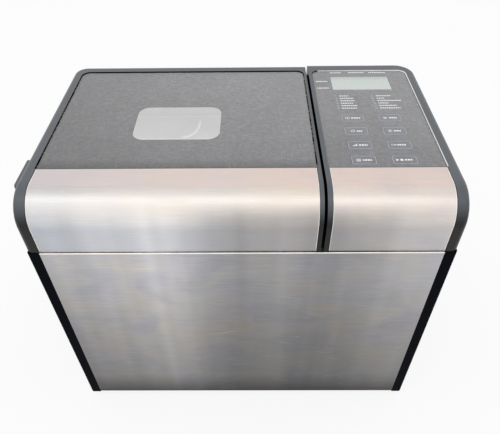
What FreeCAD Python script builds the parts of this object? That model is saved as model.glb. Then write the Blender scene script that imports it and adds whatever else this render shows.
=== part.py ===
"""Bread machine: steel-fronted case, hinged lid, control console, oven chamber, pan and belt drive.

The origin is under the middle of the case, on the surface it stands on.
+X is to the user's right, +Y to the back and +Z up. All sizes are in millimetres.
"""
import FreeCAD, Part
import math
import os

import Sketcher

# Driving dimensions, in millimetres unless the name says otherwise.
SIZES = {
    # case
    "width": 405, "depth": 255.5, "height": 335, "wall": 2.5, "sheet": 0.8, "band": 12,
    "band_proud": 0.8, "panel_proud": 1.5, "panel_bottom": 10, "panel_fold": 10, "fold_radius": 0.6,
    "cap_height": 61, "seam_gap": 0.6, "nose_radius": 30, "edge_radius": 5.5, "side_edge_radius": 3,
    "body_setback": 2, "fit_gap": 0.2,
    # split between lid and console
    "console_width": 126.9, "lid_gap": 2.8, "lid_strip": 3.9, "console_strip": 4.8, "skin_flat": 49.4,
    "plate_drop": 1.2, "plate_thick": 2, "plate_gap": 1.2, "lid_rim": 14.3, "console_rim": 16.8,
    "lid_setback": 2.5, "lid_corner": 15, "console_corner": 22, "plate_corner": 8,
    # lid hinge
    "hinge_inset": 12.5, "hinge_drop": 15, "lid_rear_drop": 35, "lid_rear_length": 24.5,
    "rear_gap": 4.5, "riser_gap": 1.2, "ear_width": 12, "ear_radius": 6, "ear_foot": 26, "ear_foot_thick": 3,
    "lug_thick": 4, "lug_gap": 0.4, "pin_radius": 2.5, "pin_gap": 0.05,
    "hinge_left_inset": 52.5, "hinge_right_inset": 44.2,
    # lid window, liner and grip
    "window_shift_x": 6.3, "window_shift_y": 15.15, "window_length": 89, "window_width": 62,
    "window_corner": 13,
    "window_thick": 2, "window_ledge": 4, "seal_thick": 2.4, "liner_thick": 1, "liner_drop": 25,
    "liner_skirt": 18, "liner_flange": 7, "liner_margin": 8, "liner_front": 20, "boss_radius": 4,
    "grip_length": 40, "grip_out": 4.5, "grip_height": 8, "grip_drop": 6, "grip_from_front": 33,
    # control console
    "display_shift": 1.05, "display_share": 0.146, "display_length": 66.4, "display_width": 31,
    "display_border": 4, "key_left_out": 20.35, "key_right_out": 18.15, "key_share": 0.5455,
    "pitch_share": 0.13,
    "key_length": 23.4, "key_width": 13.3, "key_corner": 2.5, "key_gap": 0.25, "key_travel": 0.5,
    "key_flange": 1.2, "key_flange_thick": 0.8, "stem_radius": 2, "switch_size": 6,
    "switch_height": 4.4, "board_drop": 15, "board_thick": 1.6, "shelf": 11, "well_front": 2,
    # base
    "foot_height": 8, "foot_radius": 11, "foot_stem": 4, "foot_inset_x": 52.5, "foot_inset_y": 22.75,
    "tray_thick": 3, "tray_wall": 16, "post_radius": 7, "post_height": 25, "post_inset_x": 30.5,
    "post_mid_gap": 90,
    "post_inset_y": 35.75, "chassis_thick": 2, "screw_radius": 1.75, "screw_head": 3.5, "screw_head_thick": 1.8,
    "screw_length": 14,
    # side grips, vents and the mains lead's gland
    "grip_recess_length": 96, "grip_recess_height": 34, "grip_recess_depth": 14, "grip_recess_z": 172,
    "vent_length": 42, "vent_width": 3, "vent_pitch": 7, "vent_z": 70,
    "gland_inset": 30.5, "gland_z": 48, "gland_radius": 7, "gland_flange": 10.5, "gland_bore": 3.6,
    "gland_length": 16, "gland_flange_thick": 1.8,
    # oven chamber and heater
    "chamber_shift": 1.85, "chamber_margin_x": 52.7, "chamber_margin_y": 79.5, "chamber_floor": 62,
    "chamber_sheet": 1, "chamber_flange": 8, "chamber_corner": 18, "deck_thick": 3,
    "heater_radius": 3.3, "heater_z": 94, "heater_inset": 11, "heater_bend": 20, "heater_lead": 14,
    "heater_tail": 30, "clip_size": 9, "lamp_radius": 14, "lamp_z": 190, "lamp_y": -45, "lamp_depth": 22,
    "probe_radius": 3, "probe_z": 150, "probe_y": 45, "probe_length": 14,
    # bread pan
    "pan_gap_x": 40, "pan_gap_y": 38, "pan_taper": 6, "pan_floor": 82, "pan_rim": 220, "pan_wall": 2,
    "pan_lip": 3, "pan_corner": 16, "collar_radius": 35, "collar_wall": 2.5, "seat_gap": 0.5,
    "seat_wall": 7, "seat_height": 12, "ear_pivot_rise": 5, "pan_ear_width": 14, "pan_ear_thick": 2,
    "bail_radius": 2, "bail_reach": 45, "bail_gap": 0.5, "bail_bend": 10,
    # kneading drive
    "pan_shaft_radius": 4, "bush_radius": 10, "bush_flange": 14, "coupler_radius": 11,
    "coupler_thick": 3, "dog_height": 5, "dog_gap": 0.6, "dog_width": 6,
    "paddle_hub": 9, "paddle_height": 26, "paddle_reach": 47, "paddle_thick": 5,
    "drive_shaft_radius": 5, "shaft_bottom": 14, "housing_radius": 15, "housing_flange": 30,
    "housing_flange_thick": 4, "bearing_radius": 9, "bearing_length": 9, "run_gap": 0.05,
    "pulley_radius": 42, "pulley_flange": 3, "pulley_bottom": 16, "pulley_thick": 14, "pulley_rim": 1.5,
    "belt_thick": 2, "belt_gap": 0.5, "motor_gap": 68, "motor_pulley_radius": 12,
    "motor_shaft_radius": 4, "motor_size": 72, "motor_stack": 50, "motor_cap_radius": 25,
    "motor_cap": 10, "shaft_hole": 9, "capacitor_radius": 17, "capacitor_height": 58, "capacitor_gap_x": 34,
    "capacitor_gap_y": 20, "shield_gap": 16, "shield_height": 190, "power_board_inset": 18.5,
    "power_board_length": 120, "power_board_height": 100,
}
VENT_COUNT = 8
DOG_COUNT = 2

doc = FreeCAD.newDocument("bread_machine")
sheet = doc.addObject("Spreadsheet::Sheet", "dims")
for row, (alias, number) in enumerate(SIZES.items(), start=1):
    sheet.set(f"A{row}", alias)
    sheet.set(f"B{row}", str(number))
    sheet.setAlias(f"B{row}", alias)
doc.recompute()


class Size:
    """A length worked out from the sheet: its expression text and its value."""

    def __init__(self, text, value):
        self.text = text
        self.value = value

    def __add__(self, other):
        other = size_of(other)
        return Size(f"({self.text} + {other.text})", self.value + other.value)

    def __radd__(self, other):
        return size_of(other) + self

    def __sub__(self, other):
        other = size_of(other)
        return Size(f"({self.text} - {other.text})", self.value - other.value)

    def __rsub__(self, other):
        return size_of(other) - self

    def __mul__(self, other):
        other = size_of(other)
        return Size(f"({self.text} * {other.text})", self.value * other.value)

    def __rmul__(self, factor):
        return self * factor

    def __truediv__(self, factor):
        return Size(f"({self.text} / ({factor!r}))", self.value / factor)

    def __neg__(self):
        return Size(f"(-{self.text})", -self.value)


def size_of(thing):
    return thing if isinstance(thing, Size) else Size(f"({thing!r})", float(thing))


class Cells:
    """Reads a cell of the sheet by its alias."""

    def __getattr__(self, alias):
        return Size(f"dims.{alias}", float(sheet.get(alias)))


d = Cells()
PARTS = {}
AXES = {
    "X": FreeCAD.Rotation(FreeCAD.Vector(0, 1, 0), 90),
    "Y": FreeCAD.Rotation(FreeCAD.Vector(1, 0, 0), -90),
    "Z": FreeCAD.Rotation(),
}


def bind(thing, **properties):
    for name, length in properties.items():
        thing.setExpression(name, size_of(length).text)


def place(thing, x, y, z):
    for name, length in (("x", x), ("y", y), ("z", z)):
        thing.setExpression(f"Placement.Base.{name}", size_of(length).text)


def box(name, low, high):
    made = doc.addObject("Part::Box", name)
    low = [size_of(v) for v in low]
    high = [size_of(v) for v in high]
    bind(made, Length=high[0] - low[0], Width=high[1] - low[1], Height=high[2] - low[2])
    place(made, *low)
    return made


def cylinder(name, foot, radius, height, axis="Z"):
    made = doc.addObject("Part::Cylinder", name)
    made.Placement = FreeCAD.Placement(FreeCAD.Vector(), AXES[axis])
    bind(made, Radius=radius, Height=height)
    place(made, *foot)
    return made


def ring(name, foot, outer, inner, height, axis="Z"):
    return cut(name, cylinder(name + "_outer", foot, outer, height, axis),
               [cylinder(name + "_bore", foot, inner, height, axis)])


def fuse(name, shapes):
    made = doc.addObject("Part::MultiFuse", name)
    made.Shapes = shapes
    made.Refine = True
    return made


def cut(name, base, tools):
    made = doc.addObject("Part::Cut", name)
    made.Base = base
    made.Tool = tools[0] if len(tools) == 1 else fuse(name + "_tools", tools)
    made.Refine = True
    return made


def common(name, base, tool):
    made = doc.addObject("Part::Common", name)
    made.Base = base
    made.Tool = tool
    return made


def group(name, solids):
    made = doc.addObject("Part::Compound", name)
    made.Links = solids
    return made


def edges_where(shape, test):
    return [n for n, edge in enumerate(shape.Edges, start=1) if test(edge)]


def runs_along(edge, axis):
    span = edge.BoundBox
    lengths = {"X": span.XLength, "Y": span.YLength, "Z": span.ZLength}
    return lengths[axis] > 0.999 * edge.Length


def round_box(name, low, high, radius, axis="Z"):
    """A box whose four edges along one axis are rounded."""
    block = box(name + "_block", low, high)
    doc.recompute()
    made = doc.addObject("Part::Fillet", name)
    made.Base = block
    found = edges_where(block.Shape, lambda edge: runs_along(edge, axis))
    made.Edges = [(n, radius.value, radius.value) for n in found]
    return made


def outline_body(name, plane, points, length, start):
    """A body padded from a closed outline of straight runs; every corner is bound to the sheet."""
    body = doc.addObject("PartDesign::Body", name)
    sketch = body.newObject("Sketcher::SketchObject", name + "_outline")
    support = [f for f in body.Origin.OriginFeatures if f.Role == plane + "_Plane"][0]
    sketch.AttachmentSupport = [(support, "")]
    sketch.MapMode = "FlatFace"
    count = len(points)
    for n in range(count):
        turn, after = 2 * math.pi * n / count, 2 * math.pi * (n + 1) / count
        sketch.addGeometry(Part.LineSegment(FreeCAD.Vector(math.cos(turn), math.sin(turn), 0),
                                            FreeCAD.Vector(math.cos(after), math.sin(after), 0)))
    for n in range(count):
        sketch.addConstraint(Sketcher.Constraint("Coincident", n, 2, (n + 1) % count, 1))
    for n, corner in enumerate(points):
        for kind, place_on_axis in zip(("DistanceX", "DistanceY"), corner):
            place_on_axis = size_of(place_on_axis)
            made = sketch.addConstraint(Sketcher.Constraint(kind, -1, 1, n, 1, place_on_axis.value))
            sketch.setExpression(f"Constraints[{made}]", place_on_axis.text)
    pad = body.newObject("PartDesign::Pad", name + "_pad")
    pad.Profile = sketch
    bind(pad, Length=length)
    along = {"YZ": "x", "XY": "z"}[plane]
    body.setExpression(f"Placement.Base.{along}", size_of(start).text)
    doc.recompute()
    return body


def soften(body, name, radius, test):
    """Rounds the edges of a body that pass the test, given in the body's own frame."""
    base = body.Tip
    fillet = body.newObject("PartDesign::Fillet", name)
    fillet.Base = (base, [f"Edge{n}" for n in edges_where(base.Shape, test)])
    bind(fillet, Radius=radius)
    doc.recompute()
    return fillet


def near(number, target):
    return abs(number - target.value) < 0.01


def part(node, made):
    made.Label = node
    PARTS[node] = made
    return made


# Places worked out from the driving dimensions
left, right = -d.width / 2, d.width / 2
front, back = -d.depth / 2, d.depth / 2
top = d.height
skin_front = front + d.panel_proud
band_front = skin_front - d.band_proud
skin_top = top - d.band_proud
plate_top = top - d.plate_drop
plate_low = plate_top - d.plate_thick
shell_low = plate_low - d.wall
lid_back = back - d.lid_setback
body_back = back - d.body_setback
plate_front = skin_front + d.skin_flat
lid_plate_back = lid_back - d.lid_rim
console_plate_back = back - d.console_rim
seam_height = top - d.cap_height
gap_centre = right - d.console_width
band_left, band_right = left + d.band, right - d.band
lid_right = gap_centre - d.lid_gap / 2
console_left = gap_centre + d.lid_gap / 2
lid_skin_right = lid_right - d.lid_strip
console_skin_left = console_left + d.console_strip
cap_low = seam_height + d.seam_gap / 2
case_top = seam_height - d.seam_gap / 2
inner_left, inner_right = left + d.wall, right - d.wall
inner_front = band_front + d.wall
inner_back = body_back - d.sheet - d.wall
deck_top = case_top - d.sheet - d.fit_gap
deck_low = deck_top - d.deck_thick
tray_low = d.foot_height
tray_top = tray_low + d.tray_thick
chassis_low = tray_top + d.post_height
chassis_top = chassis_low + d.chassis_thick
hinge_y = lid_back - d.hinge_inset
hinge_z = top - d.hinge_drop
lid_rear_low = top - d.lid_rear_drop
rear_top = lid_rear_low - d.rear_gap
lid_rear_front = lid_back - d.lid_rear_length
cavity_front = skin_front + d.sheet + d.wall
cavity_radius = d.nose_radius - d.sheet - d.wall
chamber_length = lid_right - left - d.chamber_margin_x
chamber_width = d.depth - d.chamber_margin_y
chamber_x = (left + lid_right) / 2 - d.chamber_shift
pan_length = chamber_length - d.pan_gap_x
pan_width = chamber_width - d.pan_gap_y
shield_x = chamber_x + chamber_length / 2 + d.shield_gap
motor_x = shield_x + d.motor_gap
foot_x, foot_y = right - d.foot_inset_x, back - d.foot_inset_y
post_x, post_y = right - d.post_inset_x, back - d.post_inset_y
post_mid = motor_x - d.post_mid_gap
gland_x = right - d.gland_inset
capacitor_x, capacitor_y = motor_x - d.capacitor_gap_x, d.capacitor_gap_y - post_y
power_board_x = right - d.power_board_inset
window_x = (band_left + lid_skin_right) / 2 - d.window_shift_x
window_y = (plate_front + lid_plate_back) / 2 - d.window_shift_y
panel_middle = (console_skin_left + band_right) / 2
panel_length = console_plate_back - plate_front
display_x = panel_middle - d.display_shift
display_y = console_plate_back - panel_length * d.display_share
key_left, key_right = panel_middle - d.key_left_out, panel_middle + d.key_right_out
key_back = console_plate_back - panel_length * d.key_share
key_pitch = panel_length * d.pitch_share
HINGES = (left + d.hinge_left_inset, lid_right - d.hinge_right_inset)
SIDES = {"left": -1, "right": 1}


def nose_ribbon(name, x_low, x_high, inner, outer):
    """A strip that follows the case's rounded front edge, between two offsets from the steel's face."""
    z_in, z_out = skin_top + inner, skin_top + outer
    y_in, y_out = skin_front - inner, skin_front - outer
    body = outline_body(name, "YZ", [(plate_front, z_out), (y_out, z_out), (y_out, cap_low),
                                     (y_in, cap_low), (y_in, z_in), (plate_front, z_in)],
                        x_high - x_low, x_low)
    for label, y_corner, z_corner, offset in (("_bend", y_out, z_out, outer), ("_inside", y_in, z_in, inner)):
        soften(body, name + label, d.nose_radius + offset,
               lambda edge: runs_along(edge, "X") and near(edge.BoundBox.YMin, y_corner)
               and near(edge.BoundBox.ZMax, z_corner))
    return body


def cap_shell(name, x_low, x_high, outline, side, corner, rear):
    """The outside of the lid or the console: rounded nose, back corner and upper edges."""
    body = outline_body(name, "YZ", outline, x_high - x_low, x_low)
    side_x = size_of(0) if side == "left" else x_high - x_low
    soften(body, name + "_nose", d.nose_radius + d.band_proud,
           lambda edge: runs_along(edge, "X") and near(edge.BoundBox.YMin, band_front)
           and near(edge.BoundBox.ZMax, top))
    soften(body, name + "_corner", corner,
           lambda edge: runs_along(edge, "Z") and near(edge.BoundBox.XMin, side_x)
           and near(edge.BoundBox.YMin, rear))
    soften(body, name + "_edge", d.edge_radius,
           lambda edge: runs_along(edge, "Y") and near(edge.BoundBox.XMin, side_x)
           and near(edge.BoundBox.ZMin, top))
    return body


def cap_cavity(name, x_low, x_high, rear, side, corner):
    """The hollow under the lid or the console, open below."""
    below = deck_low
    body = outline_body(name, "YZ", [(cavity_front, below), (cavity_front, shell_low),
                                     (rear, shell_low), (rear, below)], x_high - x_low, x_low)
    side_x = size_of(0) if side == "left" else x_high - x_low
    soften(body, name + "_nose", cavity_radius,
           lambda edge: runs_along(edge, "X") and near(edge.BoundBox.YMin, cavity_front)
           and near(edge.BoundBox.ZMax, shell_low))
    soften(body, name + "_corner", corner,
           lambda edge: runs_along(edge, "Z") and near(edge.BoundBox.XMin, side_x)
           and near(edge.BoundBox.YMin, rear))
    return body


def plate_recess(name, x_low, x_high, rear):
    """The shallow pan a plate lies in: round at the back, square where it meets the steel."""
    well = round_box(name + "_well", (x_low, plate_front, plate_low), (x_high, rear, top + d.wall),
                     d.plate_corner + d.plate_gap)
    square = box(name + "_front", (x_low, plate_front, plate_low),
                 (x_high, plate_front + d.plate_corner + d.plate_gap, top + d.wall))
    return fuse(name, [well, square])


def make_base():
    """Tray, feet, chassis plate and the screws that hold them together."""
    floor = box("tray_floor", (inner_left, inner_front, tray_low), (inner_right, inner_back, tray_top))
    rim_outer = box("tray_rim_outer", (inner_left, inner_front, tray_top),
                    (inner_right, inner_back, tray_top + d.tray_wall))
    rim_inner = box("tray_rim_inner", (inner_left + d.wall, inner_front + d.wall, tray_top),
                    (inner_right - d.wall, inner_back - d.wall, tray_top + d.tray_wall))
    rim = cut("tray_rim", rim_outer, [rim_inner])
    places = [(x, y) for x in (-post_x, post_mid, post_x) for y in (-post_y, post_y)]
    posts = [cylinder(f"post_{n}", (x, y, tray_top), d.post_radius, d.post_height)
             for n, (x, y) in enumerate(places)]
    head_low = tray_low - d.screw_head_thick
    screws = [fuse(f"base_screw_{n}", [
        cylinder(f"base_screw_head_{n}", (x, y, head_low), d.screw_head, d.screw_head_thick),
        cylinder(f"base_screw_shank_{n}", (x, y, tray_low), d.screw_radius, d.screw_length)])
        for n, (x, y) in enumerate(places)]
    pilots = [cylinder(f"pilot_{n}", (x, y, tray_low), d.screw_radius, d.screw_length)
              for n, (x, y) in enumerate(places)]
    corners = [(x, y) for x in (-foot_x, foot_x) for y in (-foot_y, foot_y)]
    sockets = [cylinder(f"foot_socket_{n}", (x, y, tray_low), d.foot_stem, d.tray_thick)
               for n, (x, y) in enumerate(corners)]
    feet = []
    for n, (x, y) in enumerate(corners):
        pad = cylinder(f"foot_pad_{n}", (x, y, 0), d.foot_radius, d.foot_height)
        stem = cylinder(f"foot_peg_{n}", (x, y, d.foot_height), d.foot_stem, d.tray_thick)
        feet.append(fuse(f"foot_{n}", [pad, stem]))
    part("base_tray", cut("base_tray", fuse("tray_body", [floor, rim] + posts), pilots + sockets))
    part("feet", group("feet", feet))
    plate = box("chassis_blank", (inner_left + d.tray_wall, -post_y - d.tray_wall, chassis_low),
                (inner_right - d.wall * 2, post_y + d.tray_wall, chassis_top))
    holes = [cylinder("chassis_shaft_hole", (motor_x, 0, chassis_low), d.shaft_hole, d.chassis_thick),
             cylinder("chassis_hub_hole", (chamber_x, 0, chassis_low), d.shaft_hole, d.chassis_thick)]
    part("chassis_plate", cut("chassis_plate", plate, holes))
    return screws


def side_panel(side):
    """A moulded side with front and back flanges, a carrying recess and cooling slots."""
    way = SIDES[side]
    name = side + "_side"
    outer, inner = (left, inner_left) if way < 0 else (inner_right, right)
    wall = box(name + "_wall", (outer, front, tray_low), (inner, body_back - d.sheet, case_top))
    if way < 0:
        band_low, band_high = left, band_left
    else:
        band_low, band_high = band_right, right
    flange = box(name + "_flange", (band_low, front, tray_low), (band_high, inner_front, case_top))
    rear_flange = box(name + "_rear_flange", (band_low, inner_back, tray_low),
                      (band_high, body_back - d.sheet, case_top))
    shell = fuse(name + "_shell", [wall, flange, rear_flange])
    doc.recompute()
    face_x = left if way < 0 else right
    rounded = doc.addObject("Part::Fillet", name + "_rounded")
    rounded.Base = shell
    found = edges_where(shell.Shape, lambda edge: runs_along(edge, "Z") and near(edge.BoundBox.XMin, face_x))
    rounded.Edges = [(n, d.side_edge_radius.value, d.side_edge_radius.value) for n in found]
    deep = d.grip_recess_depth
    half, z_low = d.grip_recess_length / 2, d.grip_recess_z
    z_high = z_low + d.grip_recess_height
    if way < 0:
        cup_x, hollow_x = (inner_left, left + deep + d.wall), (left, left + deep)
    else:
        cup_x, hollow_x = (right - deep - d.wall, inner_right), (right - deep, right)
    cup = box(name + "_cup", (cup_x[0], -half - d.wall, z_low - d.wall),
              (cup_x[1], half + d.wall, z_high + d.wall))
    hollow = round_box(name + "_hollow", (hollow_x[0], -half, z_low), (hollow_x[1], half, z_high),
                       d.plate_corner, "X")
    slots = [box(f"{name}_slot_{row}_{end}",
                 (outer, end * post_y - d.vent_length / 2, d.vent_z + d.vent_pitch * row),
                 (inner, end * post_y + d.vent_length / 2, d.vent_z + d.vent_pitch * row + d.vent_width))
             for row in range(VENT_COUNT) for end in (-1, 0, 1)]
    pieces = [rounded, cup]
    if way < 0:
        pieces.append(box(name + "_riser", (outer, lid_rear_front + d.riser_gap, case_top),
                          (inner, body_back - d.sheet, rear_top)))
    moulding = fuse(name + "_moulding", pieces)
    part(name + "_panel", cut(name + "_panel", moulding, [hollow] + slots))


def make_panels():
    """Steel front, sheet back with cooling slots, sides, deck and the mains lead's gland."""
    x_low, x_high = band_left + d.fit_gap, band_right - d.fit_gap
    panel_in, fold_back = front + d.sheet, front + d.panel_fold
    steel = outline_body("front_panel", "YZ", [
        (front, d.panel_bottom), (front, case_top), (fold_back, case_top), (fold_back, case_top - d.sheet),
        (panel_in, case_top - d.sheet), (panel_in, d.panel_bottom)], x_high - x_low, x_low)
    soften(steel, "front_panel_fold", d.fold_radius,
           lambda edge: runs_along(edge, "X") and near(edge.BoundBox.YMin, front)
           and near(edge.BoundBox.ZMax, case_top))
    part("front_panel", steel)
    for side in SIDES:
        side_panel(side)
    low, high = left + d.side_edge_radius, right - d.side_edge_radius
    sheet_blank = fuse("rear_sheet", [
        box("rear_sheet_low", (low, body_back - d.sheet, tray_low), (high, body_back, case_top)),
        box("rear_sheet_high", (low, body_back - d.sheet, case_top), (lid_right, body_back, rear_top))])
    slots = [box(f"rear_slot_{row}_{bank}", (x - d.vent_length / 2, body_back - d.sheet, z),
                 (x + d.vent_length / 2, body_back, z + d.vent_width))
             for bank, x in enumerate((-post_x * 0.5, motor_x))
             for row, z in enumerate([d.vent_z * 2 + d.vent_pitch * n for n in range(VENT_COUNT)])]
    corner_x, screw_z = (-post_x, post_x), (d.vent_z * 0.5, case_top - d.band)
    spots = [(x, z) for x in corner_x for z in screw_z]
    spots[2] = (post_x + d.band, d.vent_z * 0.5)
    holes = [cylinder(f"rear_hole_{n}", (x, inner_back, z), d.screw_radius, d.wall + d.sheet, "Y")
             for n, (x, z) in enumerate(spots)]
    gland_hole = cylinder("gland_hole", (gland_x, inner_back, d.gland_z), d.gland_radius,
                          d.wall + d.sheet, "Y")
    part("rear_panel", cut("rear_panel", sheet_blank, slots + holes + [gland_hole]))
    gland = fuse("gland_body", [
        cylinder("gland_barrel", (gland_x, body_back - d.gland_length, d.gland_z), d.gland_radius,
                 d.gland_length, "Y"),
        cylinder("gland_flange", (gland_x, body_back, d.gland_z), d.gland_flange, d.gland_flange_thick, "Y")])
    part("cord_gland", cut("cord_gland", gland, [
        cylinder("gland_bore", (gland_x, body_back - d.gland_length, d.gland_z), d.gland_bore,
                 d.gland_length + d.gland_flange_thick, "Y")]))
    screws = [fuse(f"rear_screw_{n}", [
        cylinder(f"rear_screw_head_{n}", (x, body_back, z), d.screw_head, d.screw_head_thick, "Y"),
        cylinder(f"rear_screw_shank_{n}", (x, body_back - d.sheet, z), d.screw_radius, d.sheet, "Y")])
        for n, (x, z) in enumerate(spots)]
    return screws


def make_deck():
    """The deck round the oven's mouth, and the two hinge ears that stand on it."""
    plate = box("deck_plate", (inner_left, inner_front, deck_low), (inner_right, inner_back, deck_top))
    half_x, half_y = chamber_length / 2 + d.chamber_sheet, chamber_width / 2 + d.chamber_sheet
    mouth = round_box("deck_mouth", (chamber_x - half_x, -half_y, deck_low),
                      (chamber_x + half_x, half_y, deck_top), d.chamber_corner + d.chamber_sheet)
    service = box("deck_service", (console_left + d.shelf, -post_y, deck_low),
                  (inner_right - d.shelf, post_y, deck_top))
    part("top_deck", cut("top_deck", plate, [mouth, service]))
    ears = []
    for n, x in enumerate(HINGES):
        half = d.ear_width / 2
        foot = box(f"ear_foot_{n}", (x - d.ear_foot / 2, hinge_y - d.ear_radius, deck_top),
                   (x + d.ear_foot / 2, hinge_y + d.ear_radius, deck_top + d.ear_foot_thick))
        post = box(f"ear_post_{n}", (x - half, hinge_y - d.ear_radius, deck_top),
                   (x + half, hinge_y + d.ear_radius, hinge_z))
        eye = cylinder(f"ear_eye_{n}", (x - half, hinge_y, hinge_z), d.ear_radius, d.ear_width, "X")
        bore = cylinder(f"ear_bore_{n}", (x - half, hinge_y, hinge_z), d.pin_radius + d.pin_gap,
                        d.ear_width, "X")
        ears.append(cut(f"ear_{n}", fuse(f"ear_body_{n}", [foot, post, eye]), [bore]))
    part("hinge_bracket", group("hinge_bracket", ears))


def window_cut(name, margin, z_low, z_high, corner):
    half_x, half_y = d.window_length / 2 + margin, d.window_width / 2 + margin
    return round_box(name, (window_x - half_x, window_y - half_y, z_low),
                     (window_x + half_x, window_y + half_y, z_high), corner)


def make_lid():
    """Lid moulding with its inlaid plate and steel nose, window, liner, grip and hinge pins."""
    shell = cap_shell("lid_outside", left, lid_right, [
        (band_front, cap_low), (band_front, top), (lid_back, top), (lid_back, lid_rear_low),
        (lid_rear_front, lid_rear_low), (lid_rear_front, cap_low)], "left", d.lid_corner, lid_back)
    cavity = cap_cavity("lid_hollow", inner_left, lid_right - d.wall, lid_back - d.wall, "left",
                        d.lid_corner - d.wall)
    recess = plate_recess("lid_recess", band_left - d.plate_gap, lid_skin_right + d.plate_gap,
                          lid_plate_back + d.plate_gap)
    pocket = nose_ribbon("lid_skin_pocket", band_left, lid_skin_right, -d.sheet, d.panel_proud)
    opening = window_cut("lid_window_hole", -d.window_ledge, shell_low, plate_low,
                         d.window_corner - d.window_ledge)
    notches, lugs, pins = [], [], []
    lug_in = d.ear_width / 2 + d.lug_gap
    lug_out = lug_in + d.lug_thick
    for n, x in enumerate(HINGES):
        notches.append(box(f"lid_notch_{n}", (x - lug_in, lid_back - d.wall, lid_rear_low),
                           (x + lug_in, lid_back, hinge_z + d.ear_radius + d.lug_gap * 4)))
        for side, low in (("left", x - lug_out), ("right", x + lug_in)):
            web = box(f"lug_web_{n}_{side}", (low, hinge_y - d.ear_radius, hinge_z),
                      (low + d.lug_thick, hinge_y + d.ear_radius, shell_low))
            eye = cylinder(f"lug_eye_{n}_{side}", (low, hinge_y, hinge_z), d.ear_radius, d.lug_thick, "X")
            lugs.append(cut(f"lug_{n}_{side}", fuse(f"lug_body_{n}_{side}", [web, eye]), [
                cylinder(f"lug_bore_{n}_{side}", (low, hinge_y, hinge_z), d.pin_radius, d.lug_thick, "X")]))
        pins.append(cylinder(f"hinge_pin_{n}", (x - lug_out, hinge_y, hinge_z), d.pin_radius,
                             lug_out * 2, "X"))
    part("hinge_pins", group("hinge_pins", pins))

    liner_x = (inner_left + d.liner_margin, lid_right - d.wall - d.liner_margin)
    liner_y = (cavity_front + d.liner_front, lid_rear_front - d.liner_margin)
    liner_top = top - d.liner_drop
    skirt_low = liner_top - d.liner_skirt
    edge = d.liner_flange
    flange = box("liner_flange", (liner_x[0], liner_y[0], skirt_low),
                 (liner_x[1], liner_y[1], skirt_low + d.liner_thick))
    dome = round_box("liner_dome", (liner_x[0] + edge, liner_y[0] + edge, skirt_low),
                     (liner_x[1] - edge, liner_y[1] - edge, liner_top), d.chamber_corner)
    inside = round_box("liner_inside",
                       (liner_x[0] + edge + d.liner_thick, liner_y[0] + edge + d.liner_thick, skirt_low),
                       (liner_x[1] - edge - d.liner_thick, liner_y[1] - edge - d.liner_thick,
                        liner_top - d.liner_thick), d.chamber_corner - d.liner_thick)
    sight = window_cut("liner_sight", -d.window_ledge, liner_top - d.liner_thick, liner_top,
                       d.window_corner - d.window_ledge)
    part("lid_liner", cut("lid_liner", fuse("liner_blank", [flange, dome]), [inside, sight]))
    inset = d.liner_flange / 2
    bosses = [cylinder(f"lid_boss_{a}_{b}", (x, y, skirt_low + d.liner_thick), d.liner_flange / 2,
                       shell_low - skirt_low - d.liner_thick)
              for a, x in enumerate((liner_x[0] + inset, liner_x[1] - inset))
              for b, y in enumerate((liner_y[0] + inset, liner_y[1] - inset))]
    hollowed = cut("lid_moulding", shell, [cavity, recess, pocket, opening] + notches)
    part("lid_frame", fuse("lid_frame", [hollowed] + lugs + bosses))

    plate = round_box("lid_plate_blank", (band_left, plate_front, plate_low),
                      (lid_skin_right, lid_plate_back, plate_top), d.plate_corner)
    square_front = box("lid_plate_front", (band_left, plate_front, plate_low),
                       (lid_skin_right, plate_front + d.plate_corner, plate_top))
    part("lid_plate", cut("lid_plate", fuse("lid_plate_full", [plate, square_front]), [
        window_cut("lid_plate_window", size_of(0), plate_low, plate_top, d.window_corner)]))
    part("lid_skin", nose_ribbon("lid_skin", band_left, lid_skin_right, -d.sheet, size_of(0)))
    part("lid_window", window_cut("lid_window", -d.fit_gap, plate_low, plate_top - d.fit_gap,
                                  d.window_corner - d.fit_gap))
    seal_out = -d.window_ledge + d.seal_thick
    part("window_seal", cut("window_seal", window_cut("seal_outside", seal_out, liner_top, shell_low,
                                                      d.window_corner - d.window_ledge + d.seal_thick), [
        window_cut("seal_inside", -d.window_ledge, liner_top, shell_low, d.window_corner - d.window_ledge)]))
    grip_low = band_front + d.grip_from_front
    part("lid_grip", round_box("lid_grip", (left - d.grip_out, grip_low, top - d.grip_drop - d.grip_height),
                               (left, grip_low + d.grip_length, top - d.grip_drop), d.grip_out * 0.45, "X"))


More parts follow.
